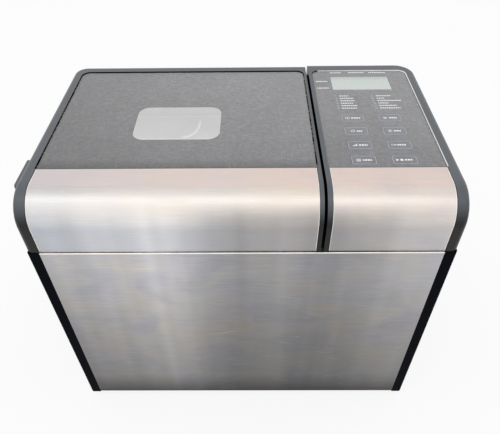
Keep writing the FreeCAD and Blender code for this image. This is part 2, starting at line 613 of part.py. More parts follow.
def make_console():
    """Console moulding, steel nose, control panel, display, keys and the control board."""
    shell = cap_shell("console_outside", console_left, right, [
        (band_front, cap_low), (band_front, top), (back, top), (back, cap_low)], "right",
        d.console_corner, back)
    cavity = cap_cavity("console_hollow", console_left + d.wall, inner_right, back - d.wall, "right",
                        d.console_corner - d.wall)
    recess = plate_recess("console_recess", console_skin_left - d.plate_gap, band_right + d.plate_gap,
                          console_plate_back + d.plate_gap)
    pocket = nose_ribbon("console_skin_pocket", console_skin_left, band_right, -d.sheet, d.panel_proud)
    well = box("console_well", (console_skin_left + d.shelf, plate_front + d.well_front, shell_low),
               (band_right - d.shelf, console_plate_back - d.shelf / 2, plate_low))
    board_top = top - d.board_drop
    legs = [cylinder(f"console_leg_{a}_{b}", (x, y, deck_top), d.boss_radius, shell_low - deck_top)
            for a, x in enumerate((console_skin_left, band_right))
            for b, y in enumerate((-foot_y, foot_y))]
    board_x = (console_skin_left + d.shelf / 2, band_right - d.shelf / 2)
    board_y = (plate_front, console_plate_back - d.shelf / 2)
    corners = [(x, y) for x in (board_x[0] + d.stem_radius, board_x[1] - d.stem_radius)
               for y in (board_y[0] + d.stem_radius, board_y[1] - d.stem_radius)]
    hangers = [cylinder(f"board_hanger_{n}", (x, y, board_top), d.stem_radius, shell_low - board_top)
               for n, (x, y) in enumerate(corners)]
    moulding = cut("console_moulding", shell, [cavity, recess, pocket, well])
    part("console_housing", fuse("console_housing", [moulding] + legs + hangers))
    part("console_skin", nose_ribbon("console_skin", console_skin_left, band_right, -d.sheet, size_of(0)))
    part("control_board", box("control_board", (board_x[0], board_y[0], board_top - d.board_thick),
                              (board_x[1], board_y[1], board_top)))

    def display_box(name, margin, z_low, z_high):
        half_x, half_y = d.display_length / 2 + margin, d.display_width / 2 + margin
        return box(name, (display_x - half_x, display_y - half_y, z_low),
                   (display_x + half_x, display_y + half_y, z_high))

    holes = [display_box("display_hole", d.fit_gap, plate_low, plate_top)]
    switches = []
    columns = {"left": key_left, "right": key_right}
    names = {"left": ("stage_key", "time_key", "level_key", "menu_key"),
             "right": ("pause_key", "light_key", "browning_key", "start_key")}
    switch_top = board_top + d.switch_height
    stem_low = switch_top + d.key_travel + d.run_gap
    flange_top = plate_low - d.fit_gap / 2
    for side, x in columns.items():
        for row, name in enumerate(names[side]):
            y = key_back - key_pitch * row
            half_x, half_y, out = d.key_length / 2, d.key_width / 2, d.key_flange
            gap = d.key_gap
            holes.append(round_box(name + "_hole", (x - half_x - gap, y - half_y - gap, plate_low),
                                   (x + half_x + gap, y + half_y + gap, plate_top), d.key_corner + gap))
            cap = round_box(name + "_cap", (x - half_x, y - half_y, flange_top),
                            (x + half_x, y + half_y, plate_top), d.key_corner)
            flange_low = flange_top - d.key_flange_thick
            flange = box(name + "_flange", (x - half_x - out, y - half_y - out, flange_low),
                         (x + half_x + out, y + half_y + out, flange_top))
            stem = cylinder(name + "_stem", (x, y, stem_low), d.stem_radius,
                            flange_low - stem_low)
            part(name, fuse(name, [cap, flange, stem]))
            reach = d.switch_size / 2
            block = box(name + "_switch_case", (x - reach, y - reach, board_top),
                        (x + reach, y + reach, switch_top - d.key_travel * 2))
            plunger = cylinder(name + "_switch_plunger", (x, y, switch_top - d.key_travel * 2),
                               d.stem_radius, d.key_travel * 2)
            switches.append(fuse(name + "_switch", [block, plunger]))
    part("tact_switches", group("tact_switches", switches))
    blank = round_box("control_panel_blank", (console_skin_left, plate_front, plate_low),
                      (band_right, console_plate_back, plate_top), d.plate_corner)
    square_front = box("control_panel_front", (console_skin_left, plate_front, plate_low),
                       (band_right, plate_front + d.plate_corner, plate_top))
    part("control_panel", cut("control_panel", fuse("control_panel_full", [blank, square_front]), holes))
    part("display_window", display_box("display_window", size_of(0), plate_low, plate_top - d.fit_gap))
    part("display_module", display_box("display_module", d.display_border, board_top, plate_low))


def make_chamber():
    """Oven chamber, tubular heater with its clips, lamp and temperature probe."""
    x, half_x, half_y = chamber_x, chamber_length / 2, chamber_width / 2
    metal, floor_top = d.chamber_sheet, d.chamber_floor + d.chamber_sheet
    rim = deck_top + metal
    outside = round_box("chamber_outside", (x - half_x - metal, -half_y - metal, d.chamber_floor),
                        (x + half_x + metal, half_y + metal, rim), d.chamber_corner + metal)
    reach = d.chamber_flange
    flange = box("chamber_rim", (x - half_x - reach, -half_y - reach, deck_top),
                 (x + half_x + reach, half_y + reach, rim))
    inside = round_box("chamber_inside", (x - half_x, -half_y, floor_top), (x + half_x, half_y, rim),
                       d.chamber_corner)
    wall_low, wall_high = x + half_x, x + half_x + metal
    tails = (-d.heater_lead, d.heater_lead)
    ports = [cylinder(f"heater_port_{n}", (wall_low, y, d.heater_z), d.heater_radius, metal, "X")
             for n, y in enumerate(tails)]
    ports += [cylinder("hub_port", (x, 0, d.chamber_floor), d.bearing_radius, metal),
              cylinder("lamp_port", (wall_low, d.lamp_y, d.lamp_z), d.lamp_radius, metal, "X"),
              cylinder("probe_port", (wall_low, d.probe_y, d.probe_z), d.probe_radius, metal, "X")]
    part("oven_chamber", cut("oven_chamber", fuse("chamber_blank", [outside, flange]), [inside] + ports))

    bend, tube = d.heater_bend, d.heater_radius
    run_x, run_y = half_x - d.heater_inset, half_y - d.heater_inset

    def elbow(name, centre_x, centre_y, start):
        made = doc.addObject("Part::Torus", name)
        made.Placement = FreeCAD.Placement(FreeCAD.Vector(), FreeCAD.Rotation(FreeCAD.Vector(0, 0, 1), start))
        made.Angle3 = 90
        bind(made, Radius1=bend, Radius2=tube)
        place(made, centre_x, centre_y, d.heater_z)
        return made

    pieces = []
    for n, (way_x, way_y) in enumerate(((1, 1), (-1, 1), (-1, -1), (1, -1))):
        pieces.append(elbow(f"heater_corner_{n}", x + (run_x - bend) * way_x, (run_y - bend) * way_y, 90 * n))
    for n, y in enumerate((-run_y, run_y)):
        pieces.append(cylinder(f"heater_long_{n}", (x - run_x + bend, y, d.heater_z), tube,
                               (run_x - bend) * 2, "X"))
    pieces.append(cylinder("heater_left_run", (x - run_x, -run_y + bend, d.heater_z), tube,
                           (run_y - bend) * 2, "Y"))
    lead = d.heater_lead
    exit_bend = d.heater_inset - tube
    for n, way in enumerate((-1, 1)):
        low = -run_y + bend if way < 0 else lead + exit_bend
        pieces.append(cylinder(f"heater_right_run_{n}", (x + run_x, low, d.heater_z), tube,
                               run_y - bend - lead - exit_bend, "Y"))
        turn = elbow(f"heater_exit_{n}", x + run_x + exit_bend, (lead + exit_bend) * way,
                     180 if way > 0 else 90)
        bind(turn, Radius1=exit_bend)
        pieces.append(turn)
        pieces.append(cylinder(f"heater_tail_{n}", (x + run_x + exit_bend, lead * way, d.heater_z), tube,
                               d.heater_tail, "X"))
    part("heater_element", fuse("heater_element", pieces))

    clips = []
    for n, way in enumerate((-1, 1)):
        size = d.clip_size
        low, high = (-half_y, -run_y + tube + d.wall) if way < 0 else (run_y - tube - d.wall, half_y)
        block = box(f"clip_block_{n}", (x - size / 2, low, d.heater_z - size / 2),
                    (x + size / 2, high, d.heater_z + size / 2))
        clips.append(cut(f"clip_{n}", block, [
            cylinder(f"clip_bore_{n}", (x - size / 2, run_y * way, d.heater_z), tube, size, "X")]))
    part("heater_clips", group("heater_clips", clips))
    lens = cylinder("lamp_lens", (wall_low - d.wall, d.lamp_y, d.lamp_z), d.lamp_radius + d.wall, d.wall, "X")
    barrel = cylinder("lamp_barrel", (wall_low, d.lamp_y, d.lamp_z), d.lamp_radius, d.lamp_depth * 0.6, "X")
    part("chamber_lamp", fuse("chamber_lamp", [lens, barrel]))
    part("temperature_probe", fuse("temperature_probe", [
        cylinder("probe_rod", (wall_high - d.probe_length, d.probe_y, d.probe_z), d.probe_radius,
                 d.probe_length, "X"),
        cylinder("probe_nut", (wall_high, d.probe_y, d.probe_z), d.probe_radius * 2, d.probe_radius * 2, "X")]))


def tapered_tub(name, z_low, z_high, shrink, corner):
    """A pan-shaped solid that narrows to the floor; shrink takes the wall off for its inside."""
    body = doc.addObject("PartDesign::Body", name)
    loft = None
    for level, (z, taper) in enumerate(((z_low, d.pan_taper), (z_high, size_of(0)))):
        sketch = body.newObject("Sketcher::SketchObject", f"{name}_level_{level}")
        support = [f for f in body.Origin.OriginFeatures if f.Role == "XY_Plane"][0]
        sketch.AttachmentSupport = [(support, "")]
        sketch.MapMode = "FlatFace"
        sketch.setExpression("AttachmentOffset.Base.z", z.text)
        half_x = pan_length / 2 - taper - shrink
        half_y = pan_width / 2 - taper - shrink
        signs = ((-1, -1), (1, -1), (1, 1), (-1, 1))
        turns = [(half_x * a, half_y * b) for a, b in signs]
        inward = [((half_x - corner) * a, (half_y - corner) * b) for a, b in signs]
        for n in range(4):
            (ax, ay), (bx, by) = turns[n], turns[(n + 1) % 4]
            (cx, cy), (ex, ey) = inward[n], inward[(n + 1) % 4]
            along_x = n % 2 == 0
            start = FreeCAD.Vector(cx.value if along_x else ax.value, ay.value if along_x else cy.value, 0)
            end = FreeCAD.Vector(ex.value if along_x else bx.value, by.value if along_x else ey.value, 0)
            sketch.addGeometry(Part.LineSegment(start, end))
        for n in range(4):
            cx, cy = inward[(n + 1) % 4]
            arc = Part.ArcOfCircle(Part.Circle(FreeCAD.Vector(cx.value, cy.value, 0), FreeCAD.Vector(0, 0, 1),
                                               corner.value), math.radians(-90 + 90 * n), math.radians(90 * n))
            sketch.addGeometry(arc)
        for n in range(4):
            sketch.addConstraint(Sketcher.Constraint("Tangent", n, 2, 4 + n, 1))
            sketch.addConstraint(Sketcher.Constraint("Tangent", 4 + n, 2, (n + 1) % 4, 1))
            sketch.addConstraint(Sketcher.Constraint("Horizontal" if n % 2 == 0 else "Vertical", n))
        for n in range(3):
            sketch.addConstraint(Sketcher.Constraint("Equal", 4 + n, 5 + n))
        for kind, element, point, length in (
                ("Radius", 4, None, corner), ("DistanceY", 0, 1, -half_y), ("DistanceX", 1, 1, half_x),
                ("DistanceY", 2, 1, half_y), ("DistanceX", 3, 1, -half_x)):
            if point is None:
                made = sketch.addConstraint(Sketcher.Constraint(kind, element, length.value))
            else:
                made = sketch.addConstraint(Sketcher.Constraint(kind, -1, 1, element, point, length.value))
            sketch.setExpression(f"Constraints[{made}]", length.text)
        if level == 0:
            loft = body.newObject("PartDesign::AdditiveLoft", name + "_loft")
            loft.Profile = sketch
        else:
            loft.Sections = [sketch]
    body.Tip = loft
    doc.recompute()
    bind(body, **{"Placement.Base.x": chamber_x})
    return body


def make_pan():
    """Bread pan with its locating collar, pivot ears and bail handle, and the seat it stands over."""
    x = chamber_x
    floor_in, floor_top = d.pan_floor + d.pan_wall, d.chamber_floor + d.chamber_sheet
    outside = tapered_tub("pan_outside", d.pan_floor, d.pan_rim, size_of(0), d.pan_corner)
    inside = tapered_tub("pan_inside", floor_in, d.pan_rim, d.pan_wall, d.pan_corner - d.pan_wall)
    half_x, half_y = pan_length / 2, pan_width / 2
    lip = round_box("pan_lip", (x - half_x - d.pan_lip, -half_y - d.pan_lip, d.pan_rim - d.pan_wall),
                    (x + half_x + d.pan_lip, half_y + d.pan_lip, d.pan_rim), d.pan_corner + d.pan_lip)
    pivot_z = d.pan_rim + d.ear_pivot_rise
    ears, bores = [], []
    ear_half = d.pan_ear_width / 2
    for n, low in enumerate((x - half_x - d.pan_lip, x + half_x + d.pan_lip - d.pan_ear_thick)):
        tab = box(f"pan_ear_tab_{n}", (low, -ear_half, d.pan_rim), (low + d.pan_ear_thick, ear_half, pivot_z))
        crown = cylinder(f"pan_ear_crown_{n}", (low, 0, pivot_z), ear_half, d.pan_ear_thick, "X")
        low_half = box(f"pan_ear_limit_{n}", (low, -ear_half, d.pan_rim),
                       (low + d.pan_ear_thick, ear_half, pivot_z + ear_half))
        ears += [tab, common(f"pan_ear_top_{n}", crown, low_half)]
        bores.append(cylinder(f"pan_ear_bore_{n}", (low, 0, pivot_z), d.bail_radius + d.run_gap,
                              d.pan_ear_thick, "X"))
    collar = ring("pan_collar", (x, 0, floor_top), d.collar_radius, d.collar_radius - d.collar_wall,
                  d.pan_floor - floor_top)
    shaft_hole = cylinder("pan_shaft_hole", (x, 0, d.pan_floor), d.bush_radius, d.pan_wall)
    blank = fuse("pan_blank", [outside, lip])
    tub = cut("pan_tub", blank, [inside, shaft_hole])
    part("bread_pan", cut("bread_pan", fuse("pan_body", [tub, collar] + ears), bores))
    seat_out = d.collar_radius - d.collar_wall - d.seat_gap
    part("pan_seat", ring("pan_seat", (x, 0, floor_top), seat_out, seat_out - d.seat_wall, d.seat_height))

    arm = half_x + d.pan_lip - d.pan_ear_thick - d.bail_gap - d.bail_radius
    bend, wire = d.bail_bend, d.bail_radius
    pieces = []
    for n, way in enumerate((-1, 1)):
        pieces.append(cylinder(f"bail_arm_{n}", (x + arm * way, -d.bail_reach + bend, pivot_z), wire,
                               d.bail_reach - bend, "Y"))
        low = x - half_x - d.pan_lip if way < 0 else x + arm
        pieces.append(cylinder(f"bail_pin_{n}", (low, 0, pivot_z), wire, half_x + d.pan_lip - arm, "X"))
        knuckle = doc.addObject("Part::Sphere", f"bail_knuckle_{n}")
        bind(knuckle, Radius=wire)
        place(knuckle, x + arm * way, 0, pivot_z)
        pieces.append(knuckle)
        corner = doc.addObject("Part::Torus", f"bail_corner_{n}")
        corner.Placement = FreeCAD.Placement(
            FreeCAD.Vector(), FreeCAD.Rotation(FreeCAD.Vector(0, 0, 1), 180 if way < 0 else 270))
        corner.Angle3 = 90
        bind(corner, Radius1=bend, Radius2=wire)
        place(corner, x + (arm - bend) * way, -d.bail_reach + bend, pivot_z)
        pieces.append(corner)
    pieces.append(cylinder("bail_bar", (x - arm + bend, -d.bail_reach, pivot_z), wire, (arm - bend) * 2, "X"))
    part("pan_handle", fuse("pan_handle", pieces))


def coupler_dogs(name, z_low, z_high, turned):
    """Driving lugs on one half of the shaft coupling; the other half's stand between them."""
    inner, half = d.drive_shaft_radius, d.dog_width / 2
    dogs = []
    for n in range(DOG_COUNT):
        way = 1 if n else -1
        low, high = inner, d.coupler_radius - d.dog_gap
        if way < 0:
            low, high = -high, -inner
        if turned:
            dogs.append(box(f"{name}_dog_{n}", (chamber_x - half, low, z_low),
                            (chamber_x + half, high, z_high)))
        else:
            dogs.append(box(f"{name}_dog_{n}", (chamber_x + low, -half, z_low),
                            (chamber_x + high, half, z_high)))
    return dogs


def make_kneader():
    """Pan shaft with its coupling half, its bush in the pan's floor and the kneading paddle."""
    x = chamber_x
    bush_top = d.pan_floor + d.pan_wall + d.coupler_thick
    bush_low = d.pan_floor - d.coupler_thick / 2
    bush = fuse("bush_body", [
        cylinder("bush_barrel", (x, 0, bush_low), d.bush_radius, bush_top - bush_low),
        cylinder("bush_flange", (x, 0, d.pan_floor + d.pan_wall), d.bush_flange, d.coupler_thick)])
    part("pan_bush", cut("pan_bush", bush, [
        cylinder("bush_bore", (x, 0, bush_low), d.pan_shaft_radius + d.run_gap, bush_top - bush_low)]))
    disc_top = bush_low - d.run_gap * 2
    disc_low = disc_top - d.coupler_thick
    paddle_low = bush_top + d.run_gap * 2
    shaft = fuse("pan_shaft", [
        cylinder("pan_shaft_rod", (x, 0, disc_low), d.pan_shaft_radius,
                 paddle_low + d.paddle_height - disc_low),
        cylinder("pan_shaft_disc", (x, 0, disc_low), d.coupler_radius, d.coupler_thick)]
        + coupler_dogs("pan_shaft", disc_low - d.dog_height, disc_low, True))
    part("pan_shaft", shaft)
    hub = cylinder("paddle_hub", (x, 0, paddle_low), d.paddle_hub, d.paddle_height)
    blade = box("paddle_blade", (x, -d.paddle_thick / 2, paddle_low),
                (x + d.paddle_reach, d.paddle_thick / 2, paddle_low + d.paddle_height * 1.2))
    doc.recompute()
    rounded = doc.addObject("Part::Fillet", "paddle_blade_round")
    rounded.Base = blade
    tip = x + d.paddle_reach
    found = edges_where(blade.Shape, lambda edge: runs_along(edge, "Y") and near(edge.BoundBox.XMin, tip)
                        and edge.BoundBox.ZMin > paddle_low.value + d.paddle_hub.value)
    rounded.Edges = [(n, d.paddle_height.value * 0.9, d.paddle_height.value * 0.9) for n in found]
    bore = cylinder("paddle_bore", (x, 0, paddle_low), d.pan_shaft_radius, d.paddle_height * 1.2)
    part("kneading_paddle", cut("kneading_paddle", fuse("paddle_body", [hub, rounded]), [bore]))
    return disc_low


def pulley(name, x, radius, bore):
    z_low, z_high = d.pulley_bottom, d.pulley_bottom + d.pulley_thick
    rims = [cylinder(f"{name}_rim_{n}", (x, 0, z), radius + d.pulley_flange, d.pulley_rim)
            for n, z in enumerate((z_low, z_high - d.pulley_rim))]
    wheel = cylinder(name + "_wheel", (x, 0, z_low), radius, d.pulley_thick)
    shaft_bore = cylinder(name + "_bore", (x, 0, z_low), bore, d.pulley_thick)
    return cut(name, fuse(name + "_body", [wheel] + rims), [shaft_bore])


def belt_face(offset):
    """The area inside a belt that runs round both pulleys, grown by an offset."""
    large, small = d.pulley_radius.value + offset, d.motor_pulley_radius.value + offset
    x_large, x_small = chamber_x.value, motor_x.value
    lean = math.acos((large - small) / (x_small - x_large))
    z = (d.pulley_bottom + d.pulley_rim + d.belt_gap).value

    def on(x, radius, angle):
        return FreeCAD.Vector(x + radius * math.cos(angle), radius * math.sin(angle), z)

    upper = (on(x_large, large, lean), on(x_small, small, lean))
    lower = (on(x_large, large, -lean), on(x_small, small, -lean))
    outline = Part.Wire([
        Part.LineSegment(upper[0], upper[1]).toShape(),
        Part.Arc(upper[1], on(x_small, small, 0), lower[1]).toShape(),
        Part.LineSegment(lower[1], lower[0]).toShape(),
        Part.Arc(lower[0], on(x_large, large, math.pi), upper[0]).toShape()])
    return Part.Face(outline)


def make_drive(disc_low):
    """Belt drive under the chamber: shaft, bearings, pulleys, belt, motor and its electrics."""
    x = chamber_x
    dog_top = disc_low - d.dog_gap
    coupler_top = dog_top - d.dog_height
    coupler_low = d.chamber_floor + d.chamber_sheet + d.dog_gap
    disc = cylinder("coupler_disc", (x, 0, coupler_low), d.coupler_radius, coupler_top - coupler_low)
    coupler = fuse("coupler_body", [disc] + coupler_dogs("coupler", coupler_top, dog_top, False))
    part("drive_coupler", cut("drive_coupler", coupler, [
        cylinder("coupler_bore", (x, 0, coupler_low), d.drive_shaft_radius, coupler_top - coupler_low)]))
    part("drive_shaft", cylinder("drive_shaft", (x, 0, d.shaft_bottom), d.drive_shaft_radius,
                                 coupler_top - d.shaft_bottom))
    hub_top = d.chamber_floor
    housing = fuse("housing_body", [
        cylinder("housing_hub", (x, 0, chassis_top), d.housing_radius, hub_top - chassis_top),
        cylinder("housing_flange", (x, 0, chassis_top), d.housing_flange, d.housing_flange_thick)])
    part("bearing_housing", cut("bearing_housing", housing, [
        cylinder("housing_bore", (x, 0, chassis_top), d.bearing_radius, hub_top - chassis_top)]))
    part("drive_bearings", group("drive_bearings", [
        ring(f"drive_bearing_{n}", (x, 0, z), d.bearing_radius, d.drive_shaft_radius + d.run_gap,
             d.bearing_length)
        for n, z in enumerate((chassis_top, hub_top - d.bearing_length))]))
    part("drive_pulley", pulley("drive_pulley", x, d.pulley_radius, d.drive_shaft_radius))
    part("motor_pulley", pulley("motor_pulley", motor_x, d.motor_pulley_radius, d.motor_shaft_radius))
    belt = doc.addObject("Part::Feature", "drive_belt")
    belt_high = (d.pulley_thick - d.pulley_rim * 2 - d.belt_gap * 2).value
    inner = d.run_gap.value
    loop = belt_face(inner + d.belt_thick.value).cut(belt_face(inner))
    belt.Shape = loop.extrude(FreeCAD.Vector(0, 0, belt_high))
    part("drive_belt", belt)

    motor_top = chassis_top + d.motor_cap * 2 + d.motor_stack
    half = d.motor_size / 2
    stack = round_box("motor_stack", (motor_x - half, -half, chassis_top + d.motor_cap),
                      (motor_x + half, half, chassis_top + d.motor_cap + d.motor_stack), d.plate_corner)
    caps = [cylinder(f"motor_cap_{n}", (motor_x, 0, z), d.motor_cap_radius, d.motor_cap)
            for n, z in enumerate((chassis_top, motor_top - d.motor_cap))]
    part("motor_case", cut("motor_case", fuse("motor_body", [stack] + caps), [
        cylinder("motor_bore", (motor_x, 0, chassis_top), d.motor_shaft_radius + d.run_gap,
                 motor_top - chassis_top)]))
    part("motor_shaft", cylinder("motor_shaft", (motor_x, 0, d.shaft_bottom), d.motor_shaft_radius,
                                 motor_top + d.motor_cap - d.shaft_bottom))
    part("motor_capacitor", cylinder("motor_capacitor", (capacitor_x, capacitor_y, chassis_top),
                                     d.capacitor_radius, d.capacitor_height))
    shield = fuse("shield_body", [
        box("shield_wall", (shield_x, -post_y, chassis_top),
            (shield_x + d.sheet, post_y, chassis_top + d.shield_height)),
        box("shield_foot", (shield_x, -post_y, chassis_top),
            (shield_x + d.panel_fold, post_y, chassis_top + d.sheet))])
    notches = [cylinder(f"shield_port_{n}", (shield_x, y, d.heater_z), d.heater_radius + d.wall, d.sheet, "X")
               for n, y in enumerate((-d.heater_lead, d.heater_lead))]
    part("heat_shield", cut("heat_shield", shield, notches))
    reach = d.power_board_length / 2
    board = box("power_board_sheet", (power_board_x, -reach, chassis_top),
                (power_board_x + d.board_thick, reach, chassis_top + d.power_board_height))
    parts_low = motor_top + d.wall
    relay = box("power_relay", (power_board_x - d.shelf, -reach * 0.6, parts_low),
                (power_board_x, -reach * 0.1, parts_low + d.power_board_height * 0.2))
    transformer = box("power_transformer", (power_board_x - d.shelf * 1.4, reach * 0.1, parts_low),
                      (power_board_x, reach * 0.7, parts_low + d.power_board_height * 0.25))
    part("power_board", fuse("power_board", [board, relay, transformer]))


def main():
    screws = make_base() + make_panels()
    part("case_screws", group("case_screws", screws))
    make_deck()
    make_lid()
    make_console()
    make_chamber()
    make_pan()
    make_drive(make_kneader())
    doc.recompute()
    failed = [o.Name for o in doc.Objects if "Invalid" in o.State or "Error" in o.State]
    if failed:
        raise RuntimeError(f"these objects failed: {failed}")
    for node, made in PARTS.items():
        shape = made.Shape
        if shape.isNull() or not shape.isValid() or not shape.Solids:
            raise RuntimeError(f"{node} has no valid shape")
    os.makedirs("parts", exist_ok=True)
    for node, made in PARTS.items():
        made.Shape.exportStep(f"parts/{node}.step")
        print(node, len(made.Shape.Solids), round(made.Shape.Volume))


main()
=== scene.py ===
"""Bread machine: finishes, printed marks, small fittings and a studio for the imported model.

Sizes are in millimetres, and MM turns them into Blender's metres.
"""
import math

import bmesh
import bpy
from bpy.props import FloatProperty, FloatVectorProperty, StringProperty
from mathutils import Matrix, Vector


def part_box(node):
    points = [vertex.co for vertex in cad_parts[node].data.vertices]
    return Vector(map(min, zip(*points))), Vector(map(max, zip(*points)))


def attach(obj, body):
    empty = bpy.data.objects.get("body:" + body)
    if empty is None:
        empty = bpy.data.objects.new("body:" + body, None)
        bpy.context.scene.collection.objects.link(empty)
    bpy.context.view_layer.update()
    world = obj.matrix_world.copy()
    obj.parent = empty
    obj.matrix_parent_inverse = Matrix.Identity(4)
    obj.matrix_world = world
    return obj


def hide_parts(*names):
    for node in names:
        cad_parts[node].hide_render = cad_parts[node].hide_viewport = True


bl_info = {
    "name": "Bread machine dresser",
    "version": (1, 0, 0),
    "blender": (4, 2, 0),
    "location": "View3D > Sidebar > Bread machine",
    "description": "Gives the packed bread machine its finishes, marks, fittings and studio",
    "category": "Object",
}

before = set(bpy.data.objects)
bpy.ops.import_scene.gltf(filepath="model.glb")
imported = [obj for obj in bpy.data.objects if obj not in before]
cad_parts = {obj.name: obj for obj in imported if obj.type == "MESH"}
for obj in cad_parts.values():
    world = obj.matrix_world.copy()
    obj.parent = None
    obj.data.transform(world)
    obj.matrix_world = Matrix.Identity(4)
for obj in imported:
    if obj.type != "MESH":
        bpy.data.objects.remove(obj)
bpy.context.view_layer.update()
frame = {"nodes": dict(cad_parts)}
NODES = frame["nodes"]
MM = 0.001


def box_of(node):
    """A node's box in millimetres, as its low and high corners."""
    low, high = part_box(node)
    return [v / MM for v in low], [v / MM for v in high]


PLATE_TOP = box_of("control_panel")[1][2]


class FinishColours(bpy.types.PropertyGroup):
    """Colours of the visible finishes, as sRGB hex values."""

    # Nose colours paint light: a highlight on the bend, a pinkish reflection at the top and shade low down.
    skin: StringProperty(name="Skin", description="Steel of the nose skins", default="#DAD4CF")
    skin_top: StringProperty(name="Skin top", description="Steel beside the inlays", default="#D4C8C4")
    skin_low: StringProperty(name="Skin edge", description="Steel low on the nose", default="#BABABD")
    # The front sheet's colours paint reflection and shade: darker towards the floor, a shadow along the foot.
    sheet_top: StringProperty(name="Sheet top", description="Front steel at the seam", default="#B0AFB1")
    sheet: StringProperty(name="Sheet", description="Front steel half way down", default="#979594")
    sheet_low: StringProperty(name="Sheet low", description="Front steel low down", default="#7D7C7C")
    sheet_edge: StringProperty(name="Sheet edge", description="Dull lower edge", default="#3E3D3D")
    plate: StringProperty(name="Plate", description="Grey inlay of lid and console", default="#8A8A8B")
    frame: StringProperty(name="Frame", description="Charcoal lid and console mouldings", default="#5B5F63")
    case: StringProperty(name="Case", description="Black side panels and base", default="#090C11")
    window: StringProperty(name="Window", description="Pale pane in the lid", default="#C8C8C6")
    display: StringProperty(name="Display", description="Unlit liquid crystal", default="#C8D0CA")
    print: StringProperty(name="Print", description="Screen print on the panel", default="#F4F5F7")
    outline: StringProperty(name="Key outline", description="Line round each key", default="#B4BACB")


class PrintSizes(bpy.types.PropertyGroup):
    """Sizes of the marks printed on the control panel."""

    lift: FloatProperty(name="Ink", description="Thickness of the ink", default=0.05 * MM, unit="LENGTH")
    line: FloatProperty(name="Outline", description="Width of a key's outline", default=0.6 * MM,
                        unit="LENGTH")
    margin: FloatProperty(name="Margin", description="From a key's edge to its outline", default=1.3 * MM,
                          unit="LENGTH")
    corner: FloatProperty(name="Corner", description="Corner radius of a key's outline", default=2.3 * MM,
                          unit="LENGTH")
    digit: FloatProperty(name="Digit", description="Height of a list number", default=2.1 * MM, unit="LENGTH")
    pitch: FloatProperty(name="Row pitch", description="From one row of the list to the next",
                         default=5.14 * MM, unit="LENGTH")


class TrimSizes(bpy.types.PropertyGroup):
    """Sizes and colours of painted edge and rim highlights, painted groove shade with dust, and the split's
    strip.
    """

    groove: FloatProperty(name="Groove", description="Gap between panel and rim", default=1.2 * MM,
                          unit="LENGTH")
    corner: FloatProperty(name="Corner", description="Corner radius of the panel", default=8.0 * MM,
                          unit="LENGTH")
    rim: FloatProperty(name="Rim line", description="How far the line stands in", default=0.85 * MM,
                       unit="LENGTH")
    rim_end: FloatProperty(name="Rim end", description="Share of the back edge that the line leaves free",
                           default=0.06, subtype="FACTOR")
    # The rim line's colour is a painted highlight on the rim's inner wall.
    rim_colour: StringProperty(name="Rim colour", description="Rubbed plastic", default="#F4F3EF")
    filler_colour: StringProperty(name="Filler", description="Left groove of the console", default="#77797B")
    dust_depth: FloatProperty(name="Dust depth", description="From the plate down to the dust",
                              default=0.5 * MM, unit="LENGTH")
    hem: FloatProperty(name="Hem", description="Radius of the rolled edge at the seam", default=0.6 * MM,
                       unit="LENGTH")
    bead: FloatProperty(name="Bead", description="Radius of the rolled ends of the skins", default=0.45 * MM,
                        unit="LENGTH")
    nose: FloatProperty(name="Nose", description="Bend radius of the skins", default=30.0 * MM, unit="LENGTH")
    # The hem colour is a painted highlight on the rolled edges.
    hem_colour: StringProperty(name="Hem colour", description="Burnished steel", default="#F2F0EC")
    strip_gap: FloatProperty(name="Strip gap", description="Room between lid and strip", default=0.6 * MM,
                             unit="LENGTH")
    strip_depth: FloatProperty(name="Strip depth", description="From the lid's top down to the strip",
                               default=8.0 * MM, unit="LENGTH")


class ScrewSizes(bpy.types.PropertyGroup):
    """Sizes of the case screws."""

    head_radius: FloatProperty(name="Head radius", description="Widest part of the head", default=3.5 * MM,
                               unit="LENGTH")
    head_height: FloatProperty(name="Head height", description="Seat to top", default=1.8 * MM, unit="LENGTH")
    slot_width: FloatProperty(name="Slot width", description="Arm of the cross", default=0.9 * MM,
                              unit="LENGTH")
    slot_length: FloatProperty(name="Slot length", description="Cross from tip to tip", default=3.6 * MM,
                               unit="LENGTH")
    shank_radius: FloatProperty(name="Shank radius", description="Threaded part", default=1.75 * MM,
                                unit="LENGTH")
    shank_length: FloatProperty(name="Shank length", description="Seat to tip", default=14.0 * MM,
                                unit="LENGTH")


class StudioSettings(bpy.types.PropertyGroup):
    """Camera and lamps."""

    lens: FloatProperty(name="Lens", description="Focal length", default=35.88, unit="CAMERA")
    shift: FloatProperty(name="Shift", description="Picture's rise, as a share of its width", default=0.03)
    spot: FloatVectorProperty(name="Camera place", description="Where the camera stands",
                              default=(0.0125, -0.4464, 0.6161), subtype="XYZ", unit="LENGTH")
    pitch: FloatProperty(name="Pitch", description="How far the camera looks down", default=0.779,
                         unit="ROTATION")
    yaw: FloatProperty(name="Yaw", description="How far it looks right", default=-0.0129, unit="ROTATION")
    roll: FloatProperty(name="Roll", description="How far it leans", default=0.0132, unit="ROTATION")
    key_light: FloatProperty(name="Key", description="Front softbox", default=4.0, subtype="POWER")
    strip_light: FloatProperty(name="Strip", description="Narrow softbox over the front", default=5.4,
                               subtype="POWER")
    top_light: FloatProperty(name="Top", description="Softbox above and behind", default=3.0, subtype="POWER")
    fill: FloatProperty(name="Fill", description="Even light from all round", default=0.84, min=0.0)


def rgba(text):
    """Linear colour from an sRGB hex value."""
    parts = [int(text[n:n + 2], 16) / 255 for n in (1, 3, 5)]
    return [v / 12.92 if v <= 0.04045 else ((v + 0.055) / 1.055) ** 2.4 for v in parts] + [1.0]


def shades(text, factors):
    """Colour stops from a hex colour: pairs of a position and the factor that lightens or darkens it."""
    base = rgba(text)[:3]
    return [(position, [min(1.0, v * factor) for v in base] + [1.0]) for position, factor in factors]


def feed(tree, node, inputs):
    """Gives a node's inputs their values, or links them to the sockets of other nodes."""
    for key, value in inputs.items():
        if isinstance(value, bpy.types.NodeSocket):
            tree.links.new(value, node.inputs[key])
        else:
            node.inputs[key].default_value = value


